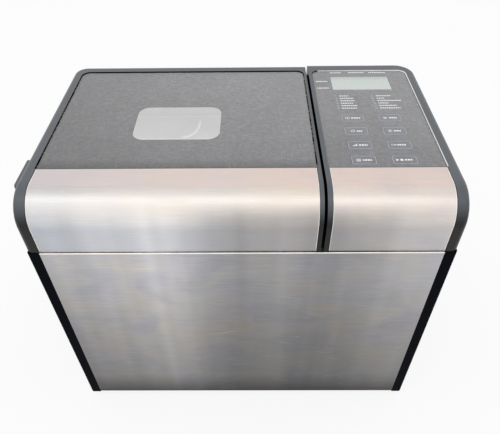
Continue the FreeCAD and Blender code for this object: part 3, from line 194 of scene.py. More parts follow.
def add(tree, kind, inputs=None, stops=(), **settings):
    """Adds a node with its settings, links and colour stops, where a plain number stands for a grey."""
    made = tree.nodes.new(kind)
    for name, value in settings.items():
        setattr(made, name, value)
    if stops:
        elements = made.color_ramp.elements
        while len(elements) < len(stops):
            elements.new(0.5)
        for element, (position, colour) in zip(elements, stops):
            element.position = position
            element.color = [colour] * 3 + [1.0] if isinstance(colour, float) else colour
    feed(tree, made, inputs or {})
    return made


MULTIPLIED = {"data_type": "RGBA", "blend_type": "MULTIPLY"}
ADDED = {"data_type": "RGBA", "blend_type": "ADD"}


def new_material(name):
    """An empty material with its tree, shader and object coordinates."""
    material = bpy.data.materials.new(name)
    material.use_nodes = True
    tree = material.node_tree
    shader = next(n for n in tree.nodes if n.type == "BSDF_PRINCIPLED")
    place = add(tree, "ShaderNodeTexCoord").outputs["Object"]
    return material, tree, shader, place


def clouds(tree, place, size, detail, swirl=0.0, turn=0.0):
    """A cloudy pattern whose spots have the given sizes in millimetres along each axis, turned about Y."""
    if turn:
        turned = add(tree, "ShaderNodeVectorRotate", {"Vector": place, "Angle": turn}, rotation_type="Y_AXIS")
        place = turned.outputs["Vector"]
    scaled = add(tree, "ShaderNodeMapping", {"Vector": place, "Scale": [1 / (s * MM) for s in size]})
    made = add(tree, "ShaderNodeTexNoise", {
        "Vector": scaled.outputs["Vector"], "Scale": 1.0, "Detail": detail, "Distortion": swirl})
    return made.outputs["Fac"]


def share_along(tree, place, axis, start, end, step="LINEAR"):
    """How far a point lies along an axis: nought at the start and one at the end, both in millimetres."""
    split = add(tree, "ShaderNodeSeparateXYZ", {"Vector": place})
    made = add(tree, "ShaderNodeMapRange", {
        "Value": split.outputs[axis], "From Min": start * MM, "From Max": end * MM}, interpolation_type=step)
    return made.outputs["Result"]


def tinted(tree, tone, pattern, stops, share=1.0):
    """A tone multiplied by colours that follow a pattern; the share says how strongly."""
    colours = add(tree, "ShaderNodeValToRGB", {"Fac": pattern}, stops)
    mixed = add(tree, "ShaderNodeMix", {
        "Factor": share, "A": tone, "B": colours.outputs["Color"]}, **MULTIPLIED)
    return mixed.outputs["Result"]


def height_tint(tree, place, heights):
    """A colour that changes with height: pairs of a height in millimetres and a hex value."""
    low, high = heights[0][0], heights[-1][0]
    stops = [((height - low) / (high - low), rgba(colour)) for height, colour in heights]
    share = share_along(tree, place, "Z", low, high)
    return add(tree, "ShaderNodeValToRGB", {"Fac": share}, stops).outputs["Color"]


def wiped_bands(tree, place, top, fade=20):
    """Painted reflections of the room: tall soft bands, bright on the left third and dull right of the
    middle.

    Gives their tone and how strongly they show, which fades to nothing at the given height.
    """
    (left, _, _), (right, _, _) = box_of("front_panel")
    across = share_along(tree, place, "X", left, right)
    waver = clouds(tree, place, (60, 900, 900), 0.0)
    sway = add(tree, "ShaderNodeMath", {0: waver, 1: 0.09, 2: across}, operation="MULTIPLY_ADD")
    bands = add(tree, "ShaderNodeValToRGB", {"Fac": sway.outputs["Value"]}, (
        (0.04, 1.12), (0.17, 1.24), (0.30, 1.52), (0.42, 1.12), (0.54, 0.80), (0.64, 0.86), (0.78, 0.69),
        (0.92, 1.02), (1.0, 1.18)))
    streaks = clouds(tree, place, (24, 700, 420), 1.0)
    tone = tinted(tree, bands.outputs["Color"], streaks, ((0.35, 0.94), (0.65, 1.06)))
    return tone, share_along(tree, place, "Z", top, top - fade, "SMOOTHSTEP")


def brushed_steel(name, heights, rough, wear, warm=0.0):
    """Stainless sheet brushed along its width: a sheen drawn out sideways, painted reflection bands, smudges
    and scratches.

    Real brush lines are under 0.1 mm wide. They are drawn 0.3 to 0.6 mm wide, or they wouldn't show. Where
    warm is given, the steel is bluer on the left and redder on the right by that share.
    """
    material, tree, shader, place = new_material(name)
    grain = clouds(tree, place, (38, 0.3, 0.3), 3.0)
    lines = clouds(tree, place, (16, 0.6, 0.55), 1.0)
    smudge = clouds(tree, place, (60, 60, 36), 4.0, 0.8)
    stain = clouds(tree, place, (44, 44, 36), 3.0, 0.6)
    # The colour by height carries painted highlights, reflections and shade.
    tone = height_tint(tree, place, heights)
    tone = tinted(tree, tone, grain, ((0.3, 0.84), (0.7, 1.08)), wear)
    tone = tinted(tree, tone, lines, ((0.26, 0.86), (0.38, 1.0), (0.62, 1.0), (0.74, 1.12)), wear * 0.6)
    # The bands are painted reflections of the room, fading out near the top of the nose.
    bands, share = wiped_bands(tree, place, PLATE_TOP - 3)
    banded = add(tree, "ShaderNodeMix", {"Factor": share, "A": tone, "B": bands}, **MULTIPLIED)
    tone = banded.outputs["Result"]
    if warm:
        cool_end, warm_end = -170, 60
        across = share_along(tree, place, "X", cool_end, warm_end)
        tone = tinted(tree, tone, across, (
            (0.0, [1 - warm, 1.0, 1 + warm, 1.0]), (1.0, [1 + warm, 1.0, 1 - warm, 1.0])))
    tone = tinted(tree, tone, smudge, (
        (0.36, [0.90, 0.91, 0.94, 1.0]), (0.5, 1.0), (0.64, [1.05, 1.03, 0.99, 1.0])), wear)
    tone = tinted(tree, tone, stain, (
        (0.36, [0.992, 0.984, 1.024, 1.0]), (0.5, 1.0), (0.64, [1.024, 1.008, 0.972, 1.0])), wear)
    rubbed = clouds(tree, place, (30, 30, 22), 1.0)
    patch = add(tree, "ShaderNodeValToRGB", {"Fac": rubbed}, ((0.5, 0.0), (0.62, 1.0))).outputs["Color"]
    for turn, reach in ((-0.22, 26), (0.3, 60)):
        scratch = clouds(tree, place, (reach, 3, 0.5), 0.0, turn=turn)
        bright = tinted(tree, patch, scratch, ((0.74, 0.0), (0.81, 0.10)))
        tone = add(tree, "ShaderNodeMix", {"Factor": wear, "A": tone, "B": bright}, **ADDED).outputs["Result"]
    worn = add(tree, "ShaderNodeMath", {0: grain, 1: smudge}, operation="ADD").outputs["Value"]
    gloss = add(tree, "ShaderNodeMapRange", {
        "Value": worn, "From Min": 0.6, "From Max": 1.4, "To Min": rough - 0.07, "To Max": rough + 0.10})
    relief = add(tree, "ShaderNodeBump", {"Height": grain, "Strength": 0.15, "Distance": 0.2 * MM})
    feed(tree, shader, {"Base Color": tone, "Roughness": gloss.outputs["Result"],
                        "Normal": relief.outputs["Normal"], "Metallic": 1.0})
    return material


def inlay_film(name, colour, node, front, left):
    """Embossed vinyl film: a satin grey with a soft hide-like relief, darker in front and on the left.

    The real relief is about a millimetre across. It is drawn three to four times coarser so that it shows.
    """
    material, tree, shader, place = new_material(name)
    (x0, y0, _), (x1, y1, _) = box_of(node)
    pebble = clouds(tree, place, (4.4, 3.2, 4.0), 2.0, 1.2)
    swell = clouds(tree, place, (11, 8, 9), 2.0)
    haze = clouds(tree, place, (42, 60, 60), 3.0, 0.6)
    scuff = clouds(tree, place, (0.5, 16, 16), 0.0)
    # The first two stops are a painted shadow line along the steel and the darker front edge behind it.
    depth = share_along(tree, place, "Y", y0, y1)
    rubbed = shades(colour, ((0.005, 0.28), (0.009, front), (0.08, 0.82), (0.35, 0.92), (1.0, 1.05)))
    tone = add(tree, "ShaderNodeValToRGB", {"Fac": depth}, rubbed).outputs["Color"]
    across = share_along(tree, place, "X", x0, x1)
    tone = tinted(tree, tone, across, ((0.0, left), (0.5, 0.99), (1.0, 1.04)))
    tone = tinted(tree, tone, haze, ((0.3, 0.93), (0.7, 1.06)))
    tone = tinted(tree, tone, pebble, ((0.36, 0.87), (0.64, 1.11)))
    pale = add(tree, "ShaderNodeValToRGB", {"Fac": scuff}, ((0.74, 0.0), (0.82, 0.10)))
    tone = add(tree, "ShaderNodeMix", {"Factor": 1.0, "A": tone, "B": pale.outputs["Color"]}, **ADDED)
    gloss = add(tree, "ShaderNodeMapRange", {"Value": haze, "To Min": 0.36, "To Max": 0.52})
    height = add(tree, "ShaderNodeMath", {0: pebble, 1: swell}, operation="ADD")
    relief = add(tree, "ShaderNodeBump", {"Height": height.outputs["Value"], "Strength": 0.8,
                                          "Distance": 0.6 * MM})
    feed(tree, shader, {"Base Color": tone.outputs["Result"], "Roughness": gloss.outputs["Result"],
                        "IOR": 1.53, "Normal": relief.outputs["Normal"]})
    return material


def wipe_mark(tree, place, x, y, half_width=15, half_depth=27):
    """A painted highlight: part of a pale oval round a middle in millimetres, brightest at its front right.
    """
    offset = add(tree, "ShaderNodeVectorMath", {0: place, 1: [x * MM, y * MM, 0.0]}, operation="SUBTRACT")
    scale = [1 / (half_width * MM), 1 / (half_depth * MM), 0.0]
    scaled = add(tree, "ShaderNodeMapping", {"Vector": offset.outputs["Vector"], "Scale": scale})
    oval = scaled.outputs["Vector"]
    far = add(tree, "ShaderNodeVectorMath", {0: oval}, operation="LENGTH").outputs["Value"]
    ring = add(tree, "ShaderNodeValToRGB", {"Fac": far}, ((0.80, 0.0), (0.93, 1.0), (0.97, 1.0), (1.0, 0.0)))
    side = add(tree, "ShaderNodeSeparateXYZ", {"Vector": oval}).outputs
    lean = add(tree, "ShaderNodeMath", {0: side["X"], 1: side["Y"]}, operation="SUBTRACT").outputs["Value"]
    return tinted(tree, ring.outputs["Color"], lean, ((0.55, 0.0), (0.95, 0.16)))


def window_pane(name, colour):
    """Polycarbonate clouded by heat and flour: pale and smooth, with a lighter band, a painted highlight and
    a rim.
    """
    material, tree, shader, place = new_material(name)
    (x0, y0, _), (x1, y1, _) = box_of("lid_window")
    haze = clouds(tree, place, (24, 24, 24), 4.0, 0.5)
    depth = share_along(tree, place, "Y", y0, y1)
    pane_bands = shades(colour, ((0.0, 1.2), (0.06, 1.02), (0.66, 0.97), (0.69, 1.04), (0.72, 0.94), (0.95, 0.97),
                            (1.0, 0.86)))
    tone = add(tree, "ShaderNodeValToRGB", {"Fac": depth}, pane_bands).outputs["Color"]
    # A painted highlight: a pale curved streak on the pane.
    highlight_arc = wipe_mark(tree, place, x0 + (x1 - x0) * 0.6, y0 + (y1 - y0) * 0.48)
    tone = add(tree, "ShaderNodeMix", {"Factor": 1.0, "A": tone, "B": highlight_arc}, **ADDED).outputs["Result"]
    tone = tinted(tree, tone, haze, ((0.3, 0.96), (0.7, 1.03)))
    gloss = add(tree, "ShaderNodeMapRange", {"Value": haze, "To Min": 0.16, "To Max": 0.34})
    feed(tree, shader, {"Base Color": tone, "Roughness": gloss.outputs["Result"], "IOR": 1.585})
    return material


def display_pane(name, colour):
    """Unlit liquid crystal behind a matt polariser: greenish grey, dim under its rear edge, faintly dotted.

    The dots of such a display are about half a millimetre apart. They are drawn 1.3 mm apart so that they
    show.
    """
    material, tree, shader, place = new_material(name)
    (_, y0, _), (_, y1, _) = box_of("display_window")
    depth = share_along(tree, place, "Y", y0, y1)
    dimmed = shades(colour, ((0.0, 0.9), (0.06, 1.04), (0.7, 1.0), (0.92, 0.84), (1.0, 0.66)))
    tone = add(tree, "ShaderNodeValToRGB", {"Fac": depth}, dimmed).outputs["Color"]
    scaled = add(tree, "ShaderNodeMapping", {"Vector": place, "Scale": [1 / (1.3 * MM)] * 3})
    dots = add(tree, "ShaderNodeTexVoronoi", {
        "Vector": scaled.outputs["Vector"], "Scale": 1.0, "Randomness": 0.0}).outputs["Distance"]
    tone = tinted(tree, tone, dots, ((0.2, 0.96), (0.5, 1.02)))
    haze = clouds(tree, place, (12, 12, 12), 3.0)
    gloss = add(tree, "ShaderNodeMapRange", {"Value": haze, "To Min": 0.2, "To Max": 0.36})
    feed(tree, shader, {"Base Color": tone, "Roughness": gloss.outputs["Result"], "IOR": 1.48})
    return material


def moulded_plastic(name, colour, rough=0.45, ior=1.54, grain=0.5, depth=0.1, mottle=0.08, level=0.5,
                    side_shade=None):
    """Injection-moulded plastic with a spark-eroded grain: satin, and slightly cloudy from handling.

    The real grain is about 0.1 mm wide, and is drawn coarser so that it shows. Where side_shade is given, the
    colour is that of faces which look up, and painted shade darkens the faces that stand on end to that share
    of it. The index of refraction is that of ABS unless another is given.
    """
    material, tree, shader, place = new_material(name)
    pits = clouds(tree, place, (grain,) * 3, 2.0)
    haze = clouds(tree, place, (45,) * 3, 4.0)
    cloudy = shades(colour, ((0.3, 1 - mottle), (0.7, 1 + mottle)))
    tone = add(tree, "ShaderNodeValToRGB", {"Fac": haze}, cloudy).outputs["Color"]
    if side_shade:
        # Painted shade: the colour darkens as faces turn from looking up to standing on end.
        facing = add(tree, "ShaderNodeTexCoord").outputs["Normal"]
        up = add(tree, "ShaderNodeSeparateXYZ", {"Vector": facing}).outputs["Z"]
        slope_shade = add(tree, "ShaderNodeMapRange", {
            "Value": up, "From Min": 0.1, "From Max": 0.85, "To Min": side_shade},
            interpolation_type="SMOOTHSTEP")
        tone = add(tree, "ShaderNodeMix", {"Factor": 1.0, "A": tone, "B": slope_shade.outputs["Result"]},
                   **MULTIPLIED).outputs["Result"]
    gloss = add(tree, "ShaderNodeMapRange", {"Value": haze, "To Min": rough - 0.06, "To Max": rough + 0.06})
    relief = add(tree, "ShaderNodeBump", {"Height": pits, "Strength": depth, "Distance": 0.2 * MM})
    feed(tree, shader, {"Base Color": tone, "Roughness": gloss.outputs["Result"], "IOR": ior,
                        "Normal": relief.outputs["Normal"], "Specular IOR Level": level})
    return material


def plain_metal(name, colour, rough=0.35, spot=6.0, mottle=0.06):
    """Rolled, drawn or turned metal: a soft sheen with faint clouds."""
    material, tree, shader, place = new_material(name)
    haze = clouds(tree, place, (spot,) * 3, 3.0)
    cloudy = shades(colour, ((0.3, 1 - mottle), (0.7, 1 + mottle)))
    tone = add(tree, "ShaderNodeValToRGB", {"Fac": haze}, cloudy)
    gloss = add(tree, "ShaderNodeMapRange", {"Value": haze, "To Min": rough - 0.05, "To Max": rough + 0.08})
    feed(tree, shader, {"Base Color": tone.outputs["Color"], "Roughness": gloss.outputs["Result"],
                        "Metallic": 1.0})
    return material


def settled_dust(name):
    """Painted shade in a groove, near black, with flour and crumbs as pale and brown specks a millimetre
    wide.
    """
    material, tree, shader, place = new_material(name)
    # The near-black base is painted shade in the groove; the specks are flour and crumbs.
    bare = rgba("#0B0B0C")
    specks = clouds(tree, place, (1.1, 1.1, 1.1), 1.0)
    patches = clouds(tree, place, (24, 24, 24), 1.0)
    flecks = add(tree, "ShaderNodeValToRGB", {"Fac": specks}, (
        (0.50, bare), (0.56, rgba("#8C7258")), (0.64, rgba("#DCD6CB"))))
    where = add(tree, "ShaderNodeValToRGB", {"Fac": patches}, ((0.38, 0.0), (0.48, 1.0)))
    tone = add(tree, "ShaderNodeMix", {
        "Factor": where.outputs["Color"], "A": bare, "B": flecks.outputs["Color"]},
        data_type="RGBA", blend_type="MIX")
    feed(tree, shader, {"Base Color": tone.outputs["Result"], "Roughness": 0.95, "Specular IOR Level": 0.1})
    return material


def outer_finishes(colours):
    """Finishes that the closed machine shows, each with its nodes."""
    (_, _, low), (_, _, seam) = box_of("front_panel")
    # Steel over the nose: painted highlight on the bend, pinkish painted reflection at the top, painted shade
    # low down.
    skin = brushed_steel("Brushed stainless nose skin", (
        (seam, colours.skin_low), (seam + 28, colours.skin_low), (PLATE_TOP - 9, colours.skin),
        (PLATE_TOP - 1.4, colours.skin), (PLATE_TOP, colours.skin_top)), rough=0.42, wear=0.5, warm=0.035)
    # Upright steel, coloured by height with painted reflection that darkens it towards the floor.
    # A painted shadow runs along its foot and a painted highlight along the seam.
    sheet = brushed_steel("Brushed stainless front sheet", (
        (low, colours.sheet_edge), (low + 42, colours.sheet_low), (low + 140, colours.sheet),
        (seam - 22, colours.sheet_top), (seam - 1.2, colours.sheet_top), (seam - 0.8, colours.skin)),
        rough=0.38, wear=1.0)
    # Finely grained mouldings: blue-grey on top, and nearly black on their sides by painted shade.
    frame_abs = moulded_plastic("Satin ABS charcoal", colours.frame, rough=0.34, level=0.28, side_shade=0.03)
    # The same plastic with a coarser skin: an even dull grey.
    deck_abs = moulded_plastic("Textured ABS charcoal", colours.frame, rough=0.5)
    # Heavily textured panels: black without a highlight.
    case_abs = moulded_plastic("Textured ABS black", colours.case, rough=0.6, level=0.015)
    return [
        (skin, ("lid_skin", "console_skin")),
        (sheet, ("front_panel",)),
        (frame_abs, ("lid_frame", "console_housing")),
        (deck_abs, ("lid_grip", "top_deck")),
        (case_abs, ("left_side_panel", "right_side_panel", "base_tray", "feet", "cord_gland")),
        (inlay_film("Embossed PVC lid inlay", colours.plate, "lid_plate", 0.5, 0.8), ("lid_plate",)),
        (inlay_film("Embossed PVC panel inlay", colours.plate, "control_panel", 0.76, 0.99),
         ("control_panel", *KEY_MARKS)),
        (window_pane("Clouded polycarbonate", colours.window), ("lid_window",)),
        (display_pane("Liquid crystal under polariser", colours.display), ("display_window",)),
    ]


def inner_finishes():
    """Finishes of the back and of everything inside, each with its nodes."""
    return [
        # Zinc on rolled sheet: cold light grey, half dull, with a faint spangle.
        (plain_metal("Zinc-plated sheet", "#B9BCBE"), ("rear_panel", "chassis_plate", "heat_shield",
                                                       "heater_clips")),
        # Pressed or cast aluminium: pale, with a wide soft sheen.
        (plain_metal("Drawn aluminium", "#CBCBCA", rough=0.3), ("lid_liner", "oven_chamber", "pan_seat",
                                                                "drive_coupler", "bearing_housing")),
        # Turned or stamped steel: darker, with a tighter sheen.
        (plain_metal("Turned steel", "#A9A9AB", rough=0.25), (
            "hinge_bracket", "hinge_pins", "case_screws", "temperature_probe", "pan_shaft", "drive_shaft",
            "motor_shaft")),
        # Polished wire: bright, with clear reflections.
        (plain_metal("Bright drawn wire", "#D6D6D8", rough=0.12), ("pan_handle",)),
        # A heater's sheath after use: brownish and dull.
        (plain_metal("Heat-blued steel sheath", "#5A5552", rough=0.45), ("heater_element",)),
        # Bearing metal full of oil: brown-yellow and dull.
        (plain_metal("Sintered bronze", "#B48A52", rough=0.4), ("pan_bush", "drive_bearings")),
        # Motor iron under varnish: dark, with little sheen.
        (plain_metal("Varnished core plates", "#4B4C50", rough=0.5), ("motor_case",)),
        # Sprayed coating: dark grey, satin and faintly pebbled.
        (moulded_plastic("Non-stick fluoropolymer", "#3B3B3E", rough=0.42, ior=1.35, grain=0.8), (
            "bread_pan", "kneading_paddle")),
        # A pressed seal: dark grey and dull.
        (moulded_plastic("Silicone rubber", "#4E4E50", rough=0.6, ior=1.41), ("window_seal",)),
        # A ground belt: nearly black and quite dull.
        (moulded_plastic("Belt rubber", "#17171A", rough=0.7, ior=1.52), ("drive_belt",)),
        # Moulded with glass fibre: off-white with a dull skin.
        (moulded_plastic("Glass-filled nylon", "#DAD6CC", rough=0.5, ior=1.53), (
            "drive_pulley", "motor_pulley", "motor_capacitor")),
        # Lacquer on the boards: deep green and glossy.
        (moulded_plastic("Green solder mask", "#1F5B36", rough=0.3, ior=1.55), (
            "control_board", "power_board")),
        # Small smooth mouldings: black and satin.
        (moulded_plastic("Black PBT", "#1C1C1E", rough=0.4, ior=1.55), ("tact_switches", "display_module")),
        # Etched glass: warm white with a soft shine.
        (moulded_plastic("Frosted glass lens", "#EDE7D6", rough=0.35, ior=1.52), ("chamber_lamp",)),
    ]


def paint(node, material):
    """Gives a node of the model a finish in every slot."""
    mesh = NODES[node].data
    if not mesh.materials:
        mesh.materials.append(material)
    for n in range(len(mesh.materials)):
        mesh.materials[n] = material


def piece(name, bm, materials, body, replaces=()):
    """Turns a mesh into an object of the machine that moves with a body."""
    mesh = bpy.data.meshes.new(name)
    bm.to_mesh(mesh)
    bm.free()
    for material in materials:
        mesh.materials.append(material)
    made = bpy.data.objects.new(name, mesh)
    bpy.context.scene.collection.objects.link(made)
    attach(made, body)
    if replaces:
        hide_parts(*replaces)


class BREAD_OT_finishes(bpy.types.Operator):
    """Give every node of the model its finish"""

    bl_idname = "bread.finishes"
    bl_label = "Finishes"

    def execute(self, context):
        for material, nodes in outer_finishes(context.scene.bread_colours) + inner_finishes():
            for node in nodes:
                paint(node, material)
        return {"FINISHED"}


def grown(name, mesh, shape, sizes, material):
    """A plain mesh grown by Geometry Nodes from a carrier mesh; the sizes are the tree's named inputs."""
    tree = bpy.data.node_groups.new(name, "GeometryNodeTree")
    tree.interface.new_socket("Geometry", in_out="INPUT", socket_type="NodeSocketGeometry")
    tree.interface.new_socket("Geometry", in_out="OUTPUT", socket_type="NodeSocketGeometry")
    for label in sizes:
        tree.interface.new_socket(label, in_out="INPUT", socket_type="NodeSocketFloat")
    tree.interface.new_socket("Material", in_out="INPUT", socket_type="NodeSocketMaterial")
    given = add(tree, "NodeGroupInput").outputs
    real = add(tree, "GeometryNodeRealizeInstances", {"Geometry": shape(tree, given)})
    dressed = add(tree, "GeometryNodeSetMaterial", {
        "Geometry": real.outputs["Geometry"], "Material": given["Material"]})
    add(tree, "NodeGroupOutput", {"Geometry": dressed.outputs["Geometry"]})
    carrier = bpy.data.objects.new(name, mesh)
    bpy.context.scene.collection.objects.link(carrier)
    modifier = carrier.modifiers.new(name, "NODES")
    modifier.node_group = tree
    values = dict(sizes, Material=material)
    for socket in tree.interface.items_tree:
        if socket.in_out == "INPUT" and socket.name in values:
            modifier[socket.identifier] = values[socket.name]
    bpy.context.view_layer.update()
    made = bpy.data.meshes.new_from_object(carrier.evaluated_get(bpy.context.evaluated_depsgraph_get()))
    bpy.data.objects.remove(carrier)
    bpy.data.meshes.remove(mesh)
    bm = bmesh.new()
    bm.from_mesh(made)
    bpy.data.meshes.remove(made)
    return bm


def swept(tree, given, section, smooth):
    """A section drawn along the carrier's line and closed at both ends."""
    line = add(tree, "GeometryNodeMeshToCurve", {"Mesh": given["Geometry"]})
    solid = add(tree, "GeometryNodeCurveToMesh", {
        "Curve": line.outputs["Curve"], "Profile Curve": section.outputs["Curve"], "Fill Caps": True})
    shaded = add(tree, "GeometryNodeSetShadeSmooth", {
        "Geometry": solid.outputs["Mesh"], "Shade Smooth": smooth})
    return shaded.outputs["Geometry"]


def bead_shape(tree, given):
    """A round bead along the carrier's line."""
    ring = add(tree, "GeometryNodeCurvePrimitiveCircle", {"Resolution": 12, "Radius": given["Radius"]})
    return swept(tree, given, ring, True)


def strip_shape(tree, given):
    """A flat strip that stands on edge along the carrier's line."""
    section = add(tree, "GeometryNodeCurvePrimitiveQuadrilateral", {
        "Width": given["Thickness"], "Height": given["Height"]})
    return swept(tree, given, section, False)


def along(name, path, shape, sizes, material, body):
    """A piece whose shape follows a path in millimetres."""
    mesh = bpy.data.meshes.new(name)
    links = [(n, n + 1) for n in range(len(path) - 1)]
    mesh.from_pydata([[v * MM for v in spot] for spot in path], links, [])
    bm = grown(name, mesh, shape, sizes, material)
    bmesh.ops.recalc_face_normals(bm, faces=bm.faces)
    piece(name, bm, [material], body)


def nose_profile(skin, radius, sunk, end=0.6, steps=16):
    """Points across a skin's bend from its back to its foot, sunk below its face and short of its ends."""
    (_, front, low), (_, back, high) = box_of(skin)
    points = [(back - end, high - sunk)]
    for n in range(steps + 1):
        angle = math.pi / 2 * n / steps
        points.append((front + radius - (radius - sunk) * math.sin(angle),
                       high - radius + (radius - sunk) * math.cos(angle)))
    return points + [(front + sunk, low + end)]


class BREAD_OT_beads(bpy.types.Operator):
    """Roll the bright edges of the front sheet and of the nose skins"""

    bl_idname = "bread.beads"
    bl_label = "Rolled edges"

    def execute(self, context):
        sizes = context.scene.bread_trim
        # Painted highlights where the rolled edges catch light: nearly white, with a soft sheen.
        bright = plain_metal("Stainless edge painted highlight", sizes.hem_colour, rough=0.3, spot=9.0, mottle=0.1)
        (x0, y0, _), (x1, _, z1) = box_of("front_panel")
        sunk = sizes.hem / MM * 0.35
        along("front_panel_hem", [(x, y0 + sunk, z1 - sunk) for x in (x0, x1)], bead_shape,
              {"Radius": sizes.hem}, bright, "case")
        inset = sizes.bead / MM
        for skin, body in (("lid_skin", "lid"), ("console_skin", "case")):
            profile = nose_profile(skin, sizes.nose / MM, inset * 0.25)
            (left, _, _), (right, _, _) = box_of(skin)
            for side, x in (("left", left + inset), ("right", right - inset)):
                along(skin + "_" + side + "_edge", [(x, y, z) for y, z in profile], bead_shape,
                      {"Radius": sizes.bead}, bright, body)
        return {"FINISHED"}


def groove_wall(node, gap, corner, front=1.0, steps=8):
    """Places on the outer wall of a plate's groove, each with the way out, from the right to the left."""
    (x0, y0, _), (x1, y1, _) = box_of(node)
    bend = corner + gap
    spots = [(x1 + gap, y0 + front, 1.0, 0.0)]
    for turn, x in enumerate((x1 - corner, x0 + corner)):
        for n in range(steps + 1):
            angle = math.pi / 2 * (turn + n / steps)
            out = (math.cos(angle), math.sin(angle))
            spots.append((x + bend * out[0], y1 - corner + bend * out[1]) + out)
    spots.append((x0 - gap, y0 + front, -1.0, 0.0))
    return spots


def wall_strip(name, spots, thick, low, high, material, body):
    """A strip on a groove's outer wall, between two heights, that reaches inwards by its thickness."""
    path = [(x - out_x * thick / 2, y - out_y * thick / 2, (low + high) / 2) for x, y, out_x, out_y in spots]
    along(name, path, strip_shape, {"Thickness": thick * MM, "Height": (high - low) * MM}, material, body)


class BREAD_OT_trim(bpy.types.Operator):
    """Lay the painted highlight line and the filler in the console's rim, and painted shade with dust in the
    lid's groove
    """

    bl_idname = "bread.trim"
    bl_label = "Rim line and dust"

    def execute(self, context):
        sizes = context.scene.bread_trim
        gap, corner, shy = sizes.groove / MM, sizes.corner / MM, 0.1
        (x0, _, low), (x1, y1, high) = box_of("control_panel")
        spots = groove_wall("control_panel", gap, corner)
        half = len(spots) // 2
        end = (x0 + (x1 - x0) * sizes.rim_end, y1 + gap, 0.0, 1.0)
        # A painted highlight where light catches the rim's inner wall: off-white, blotchy and satin.
        line = moulded_plastic("Rim wall painted highlight", sizes.rim_colour, rough=0.4, grain=0.8, mottle=0.25)
        wall_strip("console_rim_highlight", spots[:half] + [end], sizes.rim / MM, high,
                   box_of("console_housing")[1][2] - shy, line, "case")
        # Sealant pressed into the groove: mid grey and dull.
        filler = moulded_plastic("Grey silicone filler", sizes.filler_colour, rough=0.6, ior=1.41, grain=1.2,
                                 mottle=0.12)
        wall_strip("console_groove_filler", [end] + spots[half:], gap, low + shy, high - shy, filler, "case")
        # Painted shade with flour specks in the lid's groove.
        (_, _, low), (_, _, high) = box_of("lid_plate")
        wall_strip("lid_groove_shade_and_dust", groove_wall("lid_plate", gap, corner), gap, low + shy,
                   high - sizes.dust_depth / MM, settled_dust("Groove shade and flour dust"), "lid")
        return {"FINISHED"}


def rounded(x, y, length, width, radius, steps=6):
    """Corners of a rounded rectangle, anticlockwise."""
    points = []
    for turn, (way_x, way_y) in enumerate(((1, 1), (-1, 1), (-1, -1), (1, -1))):
        cx, cy = x + way_x * (length / 2 - radius), y + way_y * (width / 2 - radius)
        for n in range(steps + 1):
            angle = math.pi / 2 * (turn + n / steps)
            points.append((cx + radius * math.cos(angle), cy + radius * math.sin(angle)))
    return points


def circle(x, y, radius, steps=28):
    """Corners of a circle, anticlockwise."""
    angles = [2 * math.pi * n / steps for n in range(steps)]
    return [(x + radius * math.cos(angle), y + radius * math.sin(angle)) for angle in angles]


class BREAD_OT_strip(bpy.types.Operator):
    """Line the split beside the lid with a dark strip on the console's wall, which stands in for shade in the
    split
    """

    bl_idname = "bread.strip"
    bl_label = "Split strip"

    def execute(self, context):
        sizes = context.scene.bread_trim
        clear, foot, corner = 4.0, 14.0, 6.0
        (_, _, low), (lid_wall, back, high) = box_of("lid_frame")
        (wall, front, _), _ = box_of("console_housing")
        front, back = front + sizes.nose / MM + clear, back - clear
        low, high = low + foot, high - sizes.strip_depth / MM
        outline = rounded((front + back) / 2, (low + high) / 2, back - front, high - low, corner)
        bm = bmesh.new()
        ends = [[bm.verts.new((x * MM, y * MM, z * MM)) for y, z in outline]
                for x in (lid_wall + sizes.strip_gap / MM, wall)]
        for n in range(len(outline)):
            bm.faces.new((ends[0][n - 1], ends[0][n], ends[1][n], ends[1][n - 1]))
        bm.faces.new(ends[0])
        bm.faces.new(ends[1][::-1])
        bmesh.ops.recalc_face_normals(bm, faces=bm.faces)
        # A black strip standing in for shade in the split: rough and without a highlight.
        split_shade = moulded_plastic("Black split shade", "#0A0A0B", rough=0.95, ior=1.55, grain=0.6, depth=0.6,
                               level=0.05)
        piece("split_shade_strip", bm, [split_shade], "case")
        return {"FINISHED"}


